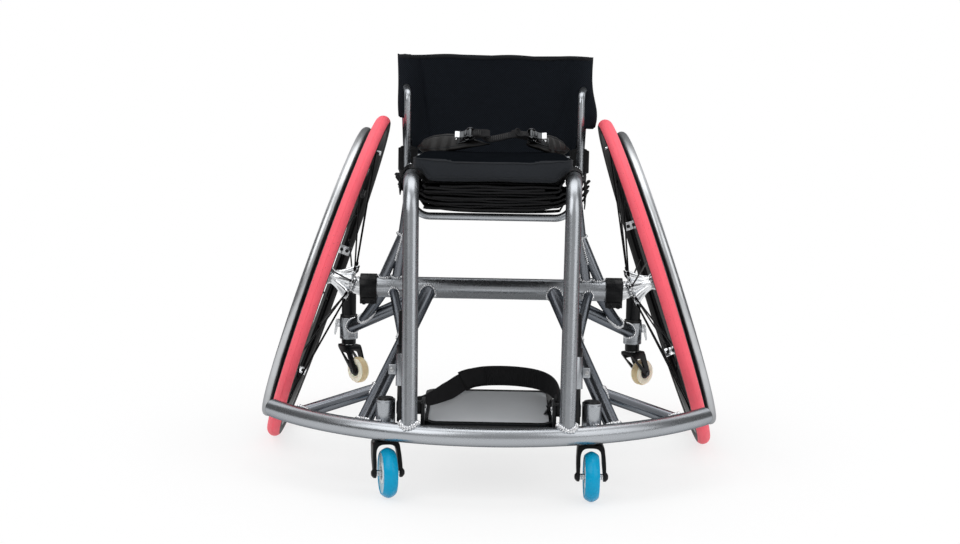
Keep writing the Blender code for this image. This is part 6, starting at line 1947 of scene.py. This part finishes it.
def make_pocket(name, side):
    """The sleeve behind the sheet's edge that closes round the cane, and its lid at the top."""
    foot, top = POCKET_FOOT[name] - 0.002, BACK_TOP - 0.0006
    columns, rows = 72, 44
    outer_rings, inner_rings = [], []
    for j in range(rows + 1):
        z = foot + (top - foot) * j / rows
        close = 0.0010 * max((j / rows - 0.94) / 0.06, 0) ** 2
        outer, inner_ring = [], []
        for x, y in circle(1, columns):
            wrinkle = 0.0005 * noise.noise(Vector((x * 2.2, y * 2.2, z * 30 + side)))
            bag = pocket_bag(side, z) * max(x * side, 0) ** 2
            radius = POCKET_INNER + POCKET_WALL + bag * 0.95 + wrinkle - close
            centre = Vector((side * cane_x(z), CANE_Y, z + 0.0005 * sin(3 * x + side)))
            outer.append(centre + Vector((x * radius, y * radius, 0)))
            inside = max(radius - POCKET_WALL, POCKET_INNER)
            inner_ring.append(centre + Vector((x * inside, y * inside, 0)))
        outer_rings.append(outer)
        inner_rings.append(inner_ring)
    lid = []
    for share in (0.75, 0.35, 0.02):
        centre = Vector((side * cane_x(top), CANE_Y, top + 0.0012 * (1 - share)))
        lid.append([centre + point for point in ring_at(POCKET_INNER * share, 0, columns)])
    shape = skin(inner_rings[:1] + outer_rings + lid)
    add_piece(f"back_pocket_{name}", shape, "mesh", "frame", "back_sling", sharp=60)


def make_back_bands(name, side):
    """The folded webbing that ties the sheet's lower corner to the cane."""
    for k, (low, high, wall, gap) in enumerate(BAND_LAYERS):
        middle = (low + high) / 2
        centre = Vector((side * cane_x(middle) + side * 0.0008 * k, CANE_Y - 0.0006 * k, middle))
        loop = []
        for x, y in circle(1, 56):
            reach = POCKET_INNER + gap + wall / 2 + 0.0022 * abs(x * y) * k
            loop.append(centre + Vector((x * reach, y * reach, 0)))
        web = sweep(loop, strap_section(high - low, wall), loop=True, across=lambda i: UP)
        add_piece(f"back_band_{name}_{k + 1}", web, "webbing", "frame", "back_sling", sharp=50)


def buckle_place(name, side):
    """Local X runs inboard along the strap, local Y across it and local Z out of its face."""
    inboard = Vector((-side, 0, 0))
    face = Vector((0, -sin(BUCKLE_TILT), cos(BUCKLE_TILT)))
    turn = Matrix((inboard, face.cross(inboard), face)).transposed().to_4x4()
    place = place_at((side * BUCKLE_X[name], BUCKLE_Y, BUCKLE_Z), turn)
    lifted = rotation(-BUCKLE_LIFT, "Y")
    return place @ place_at(LEVER_PIVOT, lifted) @ place_at(-LEVER_PIVOT)


def make_belt(name, side):
    """A leather-faced pad that leans back against the lap, with its two rows of stitches, and the buckle."""
    node, buckle_x = f"hip_belt_{name}", BUCKLE_X[name]
    far = CUSHION_HALF_WIDTH * 0.88
    corners = [
        (CUSHION_HALF_WIDTH * 0.99, BUCKLE_Y * 0.60, 0.004), (far, BUCKLE_Y * 0.72, 0.009),
        ((far + buckle_x) / 2, BUCKLE_Y * 0.85, 0.014), (buckle_x, BUCKLE_Y * 0.98, PAD_LIFT),
        (buckle_x - PAD_REACH[name], BUCKLE_Y * 1.05, PAD_LIFT - 0.001),
    ]
    points = smooth_path([(side * x, y, cushion_top(x, y) + lift) for x, y, lift in corners], 14)
    count = len(points) - 1

    def swell(i):
        t = i / count
        leaf = max(sin(pi * min(t * 1.02, 1)), 0.02) ** 0.85
        return leaf, max(leaf, 0.2) ** 0.8 * (1 + 0.10 * sin(t * 41))

    def axes(i):
        along = (points[min(i + 1, count)] - points[max(i - 1, 0)]).normalized()
        across = (PAD_LEAN - along * PAD_LEAN.dot(along)).normalized()
        face = across.cross(along)
        return across, face if face.z > 0 else -face

    section = [
        (copysign(abs(u) ** 0.75, u) * PAD_WIDTH / 2, copysign(abs(v) ** 0.8, v) * PAD_THICKNESS / 2)
        for u, v in circle(1, 40)]
    shape = sweep(points, section, across=lambda i: PAD_LEAN, size=swell)
    pad = add_piece(f"belt_pad_{name}", shape, "pad", "frame", node, sharp=60)
    tree = surface(pad)
    for label, sign in (("upper", 1), ("lower", -1)):
        line = []
        for i in range(4, count - 3):
            across, face = axes(i)
            line.append(points[i] + across * sign * STITCH_REACH * swell(i)[0] + face * 0.012)
        stitch = sweep(hug(line, tree, 0.0001), circle(STITCH / 2, 6))
        add_piece(f"belt_stitch_{name}_{label}", stitch, "seam", "frame", node, sharp=60)
    make_buckle(name, side, node)


def make_buckle(name, side, node):
    """The riser, the plates with their cheeks, the pins and rivets, and the ratchet wheel."""
    length, width, height = BUCKLE_LENGTH, BUCKLE_WIDTH, BUCKLE_HEIGHT
    add = adder("frame", node, buckle_place(name, side))
    riser = bevelled(block((length * 0.60, width * 0.64, 0.018), 0, (0, 0, -0.008)), 0.003)
    add(f"buckle_pad_{name}", riser, "webbing")
    plates = [bevelled(block((length, width, 0.0024), 0, (0, 0, 0.0024)), 0.0008, 2)]
    cheek_outline = soften([
        (length * 0.04, 0.0016), (length * 0.49, 0.0016), (length * 0.49, height * 0.7),
        (length * 0.40, height), (length * 0.26, height), (length * 0.12, height * 0.62),
    ], 0.003, True, 5)
    for shift in (-1, 1):
        middle = shift * ((width - 0.003) / 2 - 0.0003)
        cheek = prism(cheek_outline, -0.0009, 0.0009, 0.0003)
        plates.append(moved(cheek, place_at((0, middle, 0), Z_TO_FRONT)))
    add(f"buckle_base_{name}", merged(*plates), "dark_steel", sharp=30, slot="silver")
    hinge_half = width / 2 - 0.0002
    small = [moved(bar(0.0021, -hinge_half, hinge_half, 24), place_at(LEVER_PIVOT, Z_TO_FRONT))]
    for x in (length * 0.14, length * 0.23):
        for shift in (-1, 1):
            at = (x, shift * (width / 2 - 0.0004), 0.0048)
            small.append(moved(bar(0.0014, -0.0007, 0.0007, 20, 0.0004), place_at(at, Z_TO_FRONT)))
    for x in (-length * 0.33, -length * 0.16):
        rivet = turned([(0, 0), (0.0026, 0), (0.0024, 0.0008), (0.0012, 0.0015), (0, 0.0016)], 24)
        small.append(moved(rivet, place_at((x, 0, 0.0034))))
    add(f"buckle_pins_{name}", merged(*small), "steel", slot="silver")
    reaches = (0.0052, 0.0042) * RATCHET_TEETH
    teeth = [(x * reach, y * reach) for reach, (x, y) in zip(reaches, circle(1, 2 * RATCHET_TEETH))]
    wheel = prism(teeth, -width * 0.26, width * 0.26, 0.0002)
    moved(wheel, place_at((length * 0.20, 0, 0.0078), Z_TO_FRONT))
    add(f"buckle_ratchet_{name}", wheel, "dark_steel", slot="silver")


def make_buckle_lever(name, side):
    """The ratchet lever: a dark plate with a bright curled lip, hinged between the cheeks. The lip's bright
    steel is a painted glint on the lever's tip.
    """
    place = buckle_place(name, side)
    half = BUCKLE_WIDTH / 2 - 0.0036
    path = smooth_path([
        (0.0005, 0, 0.0004), (-0.006, 0, 0.0012), (-0.013, 0, 0.0012), (-0.019, 0, 0.0026),
        (-0.0235, 0, 0.0052), (-0.0258, 0, 0.0060)], 6)
    plate = sweep(path, strap_section(half * 2, 0.0020, 10), across=lambda i: Vector((0, 1, 0)))
    hinge = moved(bar(0.0030, -half, half, 32, 0.0004), Z_TO_FRONT)
    lip = sweep(path[-13:], strap_section(half * 2 + 0.0008, 0.0027, 10), across=lambda i: Vector((0, 1, 0)))
    body, node, at = f"belt_lever_{name}", f"buckle_lever_{name}", place @ place_at(LEVER_PIVOT)
    add_piece(f"{node}_plate", merged(plate, hinge), "dark_steel", body, node, at)
    # The lip's bright steel is a painted glint on the lever's tip.
    add_piece(f"{node}_lip", lip, "steel", body, node, at)


def make_ladder_straps():
    """The toothed strap from the right buckle, and the folded web that it meets at the left one."""
    right, left = buckle_place("right", -1), buckle_place("left", 1)
    across = right.to_3x3() @ Vector((0, 1, 0))
    start = right @ Vector((BUCKLE_LENGTH * 0.1, 0, 0.0034))
    end = left @ Vector((BUCKLE_LENGTH * 1.02, 0, -0.0070))
    middle = start.lerp(end, 0.5) + Vector((0, 0, -0.0060))
    path = smooth_path([
        start, right @ Vector((BUCKLE_LENGTH * 0.66, 0, 0.0030)), middle, end,
        left @ Vector((BUCKLE_LENGTH * 0.8, 0, -0.0045))], 12)
    section = rounded_box(BUCKLE_WIDTH * 0.33, -0.0012, 0.0012, 0.0006)
    strap = sweep(even(path, 0.002), section, across=lambda i: across)
    add_piece("ladder_strap", strap, "webbing", "frame", "hip_belt_right")
    teeth = []
    route = even(path, 0.0034)
    for i in range(3, len(route) - 6):
        along = (route[i + 1] - route[i - 1]).normalized()
        face = along.cross(across)
        if face.z < 0:
            face = -face
        turn = Matrix((along, across, face)).transposed().to_4x4()
        tooth = block((0.0013, BUCKLE_WIDTH * 0.5, 0.0010), 0.0003)
        teeth.append(moved(tooth, place_at(route[i] + face * 0.0015, turn)))
    add_piece("ladder_teeth", merged(*teeth), "plastic", "frame", "hip_belt_right", slot="webbing")
    for name, place in (("right", right), ("left", left)):
        folds = []
        axes = place.to_3x3()
        for k, (reach, lift) in enumerate(((1.08, -0.0015), (0.94, 0.0012), (0.80, 0.0036))):
            corners = (
                (0.22, 0, 0.0010 + lift * 0.3), (0.55, 0, 0.0006 + lift), (reach - 0.12, 0, -0.0020 + lift),
                (reach, 0.0006 * k, -0.0058 + lift))
            route = smooth_path([place @ Vector((BUCKLE_LENGTH * x, y, z)) for x, y, z in corners], 8)
            tilt = axes @ Vector((0.10 * (k - 1), 1, 0.12 * k))
            section = strap_section(BUCKLE_WIDTH * (0.80 - 0.05 * k), 0.0020)
            folds.append(sweep(route, section, across=lambda i: tilt))
        if name == "left":
            centre = place @ Vector((BUCKLE_LENGTH * 0.90, 0, 0.0018))
            loop = [centre + axes @ Vector((x, y * 1.7, 0)) for x, y in circle(0.0050, 28)]
            folds.append(sweep(loop, circle(0.0013, 10), loop=True))
        add_piece(f"belt_fold_{name}", merged(*folds), "webbing", "frame", f"hip_belt_{name}", sharp=50)


FOOT_STRAP_ROUTE = (
    (-1.0, 0.13, -0.03), (-0.90, 0.25, -0.14), (-0.745, 0.44, -0.17), (-0.57, 0.70, -0.17),
    (-0.377, 0.91, 0.01), (-0.13, 0.985, 0.16), (0.175, 1.0, 0.21), (0.48, 0.985, 0.18),
    (0.72, 0.93, 0.11), (0.877, 0.775, 0.08), (0.965, 0.48, 0.11), (1.0, 0.13, 0.03),
)


def make_foot_strap():
    """The ribbed heel strap in two lengths that overlap, its left end folded into a slack loop."""
    start = bracket_back() + 0.0006
    corners = [Vector((-FOOT_STRAP_X, start, FOOT_STRAP_Z))]
    for across, along, up in FOOT_STRAP_ROUTE:
        y = start + along * (PLATE_REAR_Y - start)
        corners.append(Vector((across * FOOT_STRAP_X, y, FOOT_STRAP_Z + up * FOOT_STRAP_WIDTH)))
    corners.append(Vector((FOOT_STRAP_X, start, FOOT_STRAP_Z)))
    path = even(smooth_path(corners, 10), 0.0009)

    def lean(route):
        def way(i):
            slack = clamp(-4 * route[i].x / FOOT_STRAP_X - 1)
            slack *= clamp((route[i].y - corners[1].y) / 0.02)
            return Vector((-slack / 2, slack * 3 / 4, 1))
        return way

    def ribbed(route, width, narrow=0.0):
        def size(i):
            draw = narrow * max(1 - i / (len(route) * 0.62), 0)
            return 1 - draw, 1 + 0.5 * sin(i * pi / 2)
        return sweep(route, strap_section(width, 0.0022, 10), across=lean(route), size=size)

    add = adder("footrest", "foot_strap")
    middle, overlap, fade = len(path) * 43 // 100, 34, 60
    add("_right", ribbed(path[:middle], FOOT_STRAP_WIDTH, 0.55), "webbing", sharp=50)
    over = [p + Vector((0, -0.0024, 0.0020)) for p in path[middle - overlap:]]
    for n in range(fade):
        over[-1 - n] = over[-1 - n].lerp(path[-1 - n], (1 - n / fade) ** 2)
    add("_left", ribbed(over, FOOT_STRAP_WIDTH * 1.14), "webbing", sharp=50)
    keeper = smooth_path([
        path[middle - 30] + Vector((0, -0.0045, 0.0010)), path[middle - 12] + Vector((0, -0.0048, 0.0034)),
        path[middle + 14] + Vector((0, -0.0045, 0.0030))], 8)
    tab = sweep(keeper, strap_section(FOOT_STRAP_WIDTH * 0.9, 0.0018), across=lean(keeper))
    add("_tab", tab, "webbing", sharp=50)
    loop = smooth_path([
        (0.109, -0.300, 0.136), (0.1085, -0.318, 0.142), (0.106, -0.336, 0.139), (0.099, -0.345, 0.129),
        (0.094, -0.332, 0.1225), (0.097, -0.312, 0.1215), (0.104, -0.300, 0.127)], 8)

    def twist(i):
        turn = 0.9 * sin(pi * i / len(loop))
        return Vector((sin(turn) * 0.8, 0.15, cos(turn)))

    slack = sweep(loop, strap_section(FOOT_STRAP_WIDTH * 0.62, 0.0019), across=twist)
    add("_loop", slack, "webbing", sharp=50)


WHITE = (1, 1, 1, 1)
WORLD_TINT = (0.98, 0.99, 1.0, 1)
WORLD_LIGHT = 0.55
FLOOR_REACH = 14
# All lamps face the target. Each has its place, its width, its height and its power
LAMP_TARGET = Vector((0, 0, 0.3))
LAMPS = {
    "key": ((-2.2, -2.4, 3.0), 3.0, 3.0, 52),
    "fill": ((2.6, -2.0, 1.9), 2.6, 3.0, 34),
    "top": ((0.0, 0.6, 3.2), 3.4, 2.6, 34),
    "back_left": ((2.2, 2.4, 1.6), 1.8, 2.6, 16),
    "back_right": ((-2.2, 2.4, 1.6), 1.8, 2.6, 16),
}


def make_world():
    """A white surround for the camera. Mirrors see it dimmer in front and dark at both sides."""
    world = bpy.data.worlds.new("studio")
    world.use_nodes = True
    world.node_tree.nodes.clear()
    n = Tree(world.node_tree)
    path = n.make("LightPath").outputs
    where = n.make("SeparateXYZ", {0: n.add("TexCoord", {}, "Generated")}).outputs
    backwards = n.ramp(where["Y"], -0.8, 0.1, 0.47, 1.0)
    sideways = n.ramp(n.maths("ABSOLUTE", where["X"]), 0.42, 0.80, 1.0, 0.13)
    behind = n.ramp(where["Y"], 0.25, 0.80, 1.0, 0.20)
    dimmed = n.maths("MULTIPLY", n.maths("MULTIPLY", backwards, sideways), behind)
    mirrored = n.add("Background", {"Color": WHITE, "Strength": dimmed})
    spread = n.add("Background", {"Color": WORLD_TINT, "Strength": WORLD_LIGHT})
    seen = n.add("Background", {"Color": WHITE})
    glossy = n.maths("MAXIMUM", path["Is Glossy Ray"], path["Is Transmission Ray"])
    light = n.add("MixShader", {0: glossy, 1: spread, 2: mirrored})
    light = n.add("MixShader", {0: path["Is Camera Ray"], 1: light, 2: seen})
    n.add("OutputWorld", {"Surface": light}, None)
    bpy.context.scene.world = world


def make_paper():
    """White paper with the chair's soft shadow, which fades to plain white further out. Mirrors see it as a
    glow, painted darker near the chair as a painted shadow, and dimmer behind it.
    """
    n = Nodes("floor_paper", Base_Color=(0.93, 0.93, 0.93), Roughness=0.75)
    n.set("Specular IOR Level", 0.15)
    where = n.add("TexCoord", {}, "Object")
    away = n.add("VectorMath", {0: where}, "Value", operation="LENGTH")
    fade = n.ramp(away, 0.40, 1.00, 0.72, 1.0)
    # Mirrors see the floor's glow dimmer near the chair: a painted shadow in reflections.
    glow_with_painted_shadow = n.ramp(away, 0.18, 0.50, 0.28, 1.0)
    behind = n.ramp(n.add("SeparateXYZ", {0: where}, "Y"), 0.2, 1.2, 1.0, 0.20)
    path = n.make("LightPath").outputs
    looking = n.maths("MAXIMUM", path["Is Camera Ray"], path["Is Transmission Ray"])
    seen = n.add("Emission", {"Color": WHITE, "Strength": 1.0})
    mirrored = n.add("Emission", {"Color": WHITE, "Strength": n.maths("MULTIPLY", glow_with_painted_shadow, behind)})
    light = n.add("MixShader", {0: n.maths("MULTIPLY", fade, looking), 1: n.shader.outputs[0], 2: seen})
    light = n.add("MixShader", {0: path["Is Glossy Ray"], 1: light, 2: mirrored})
    n.put(n.tree.nodes["Material Output"].inputs["Surface"], light)
    return n.made


def make_stage():
    for name, (place, width, height, power) in LAMPS.items():
        data = bpy.data.lights.new(name, "AREA")
        data.shape, data.size, data.size_y, data.energy = "RECTANGLE", width, height, power
        lamp = link(name, data)
        lamp.location = place
        lamp.rotation_euler = (LAMP_TARGET - Vector(place)).to_track_quat("-Z", "Y").to_euler()
    edit = bmesh.new()
    bmesh.ops.create_grid(edit, x_segments=1, y_segments=1, size=FLOOR_REACH)
    mesh = as_mesh("floor", edit)
    mesh.materials.append(make_paper())
    floor = link("floor", mesh)


def main():
    make_camera()
    make_world()
    make_stage()
    made = make_main_tubes()
    for name, side in SIDES:
        make_side_frame(name, side, made)
        make_camber_end(name, side)
        make_caster_housing(name, side, made)
        for make in (make_tyre, make_rim, make_handrim, make_hub, make_axle, make_front_caster):
            make(name, side)
        make_tip_arm(name, side, made)
        for make in (make_tip_lever, make_tip_stem, make_tip_caster):
            make(name, side)
    make_back_frame(made)
    make_footrest()
    make_foot_strap()
    make_cushion()
    make_sling()
    make_back()
    for name, side in SIDES:
        make_belt(name, side)
        make_buckle_lever(name, side)
    make_ladder_straps()


main()
bpy.context.scene.view_settings.view_transform = "Standard"
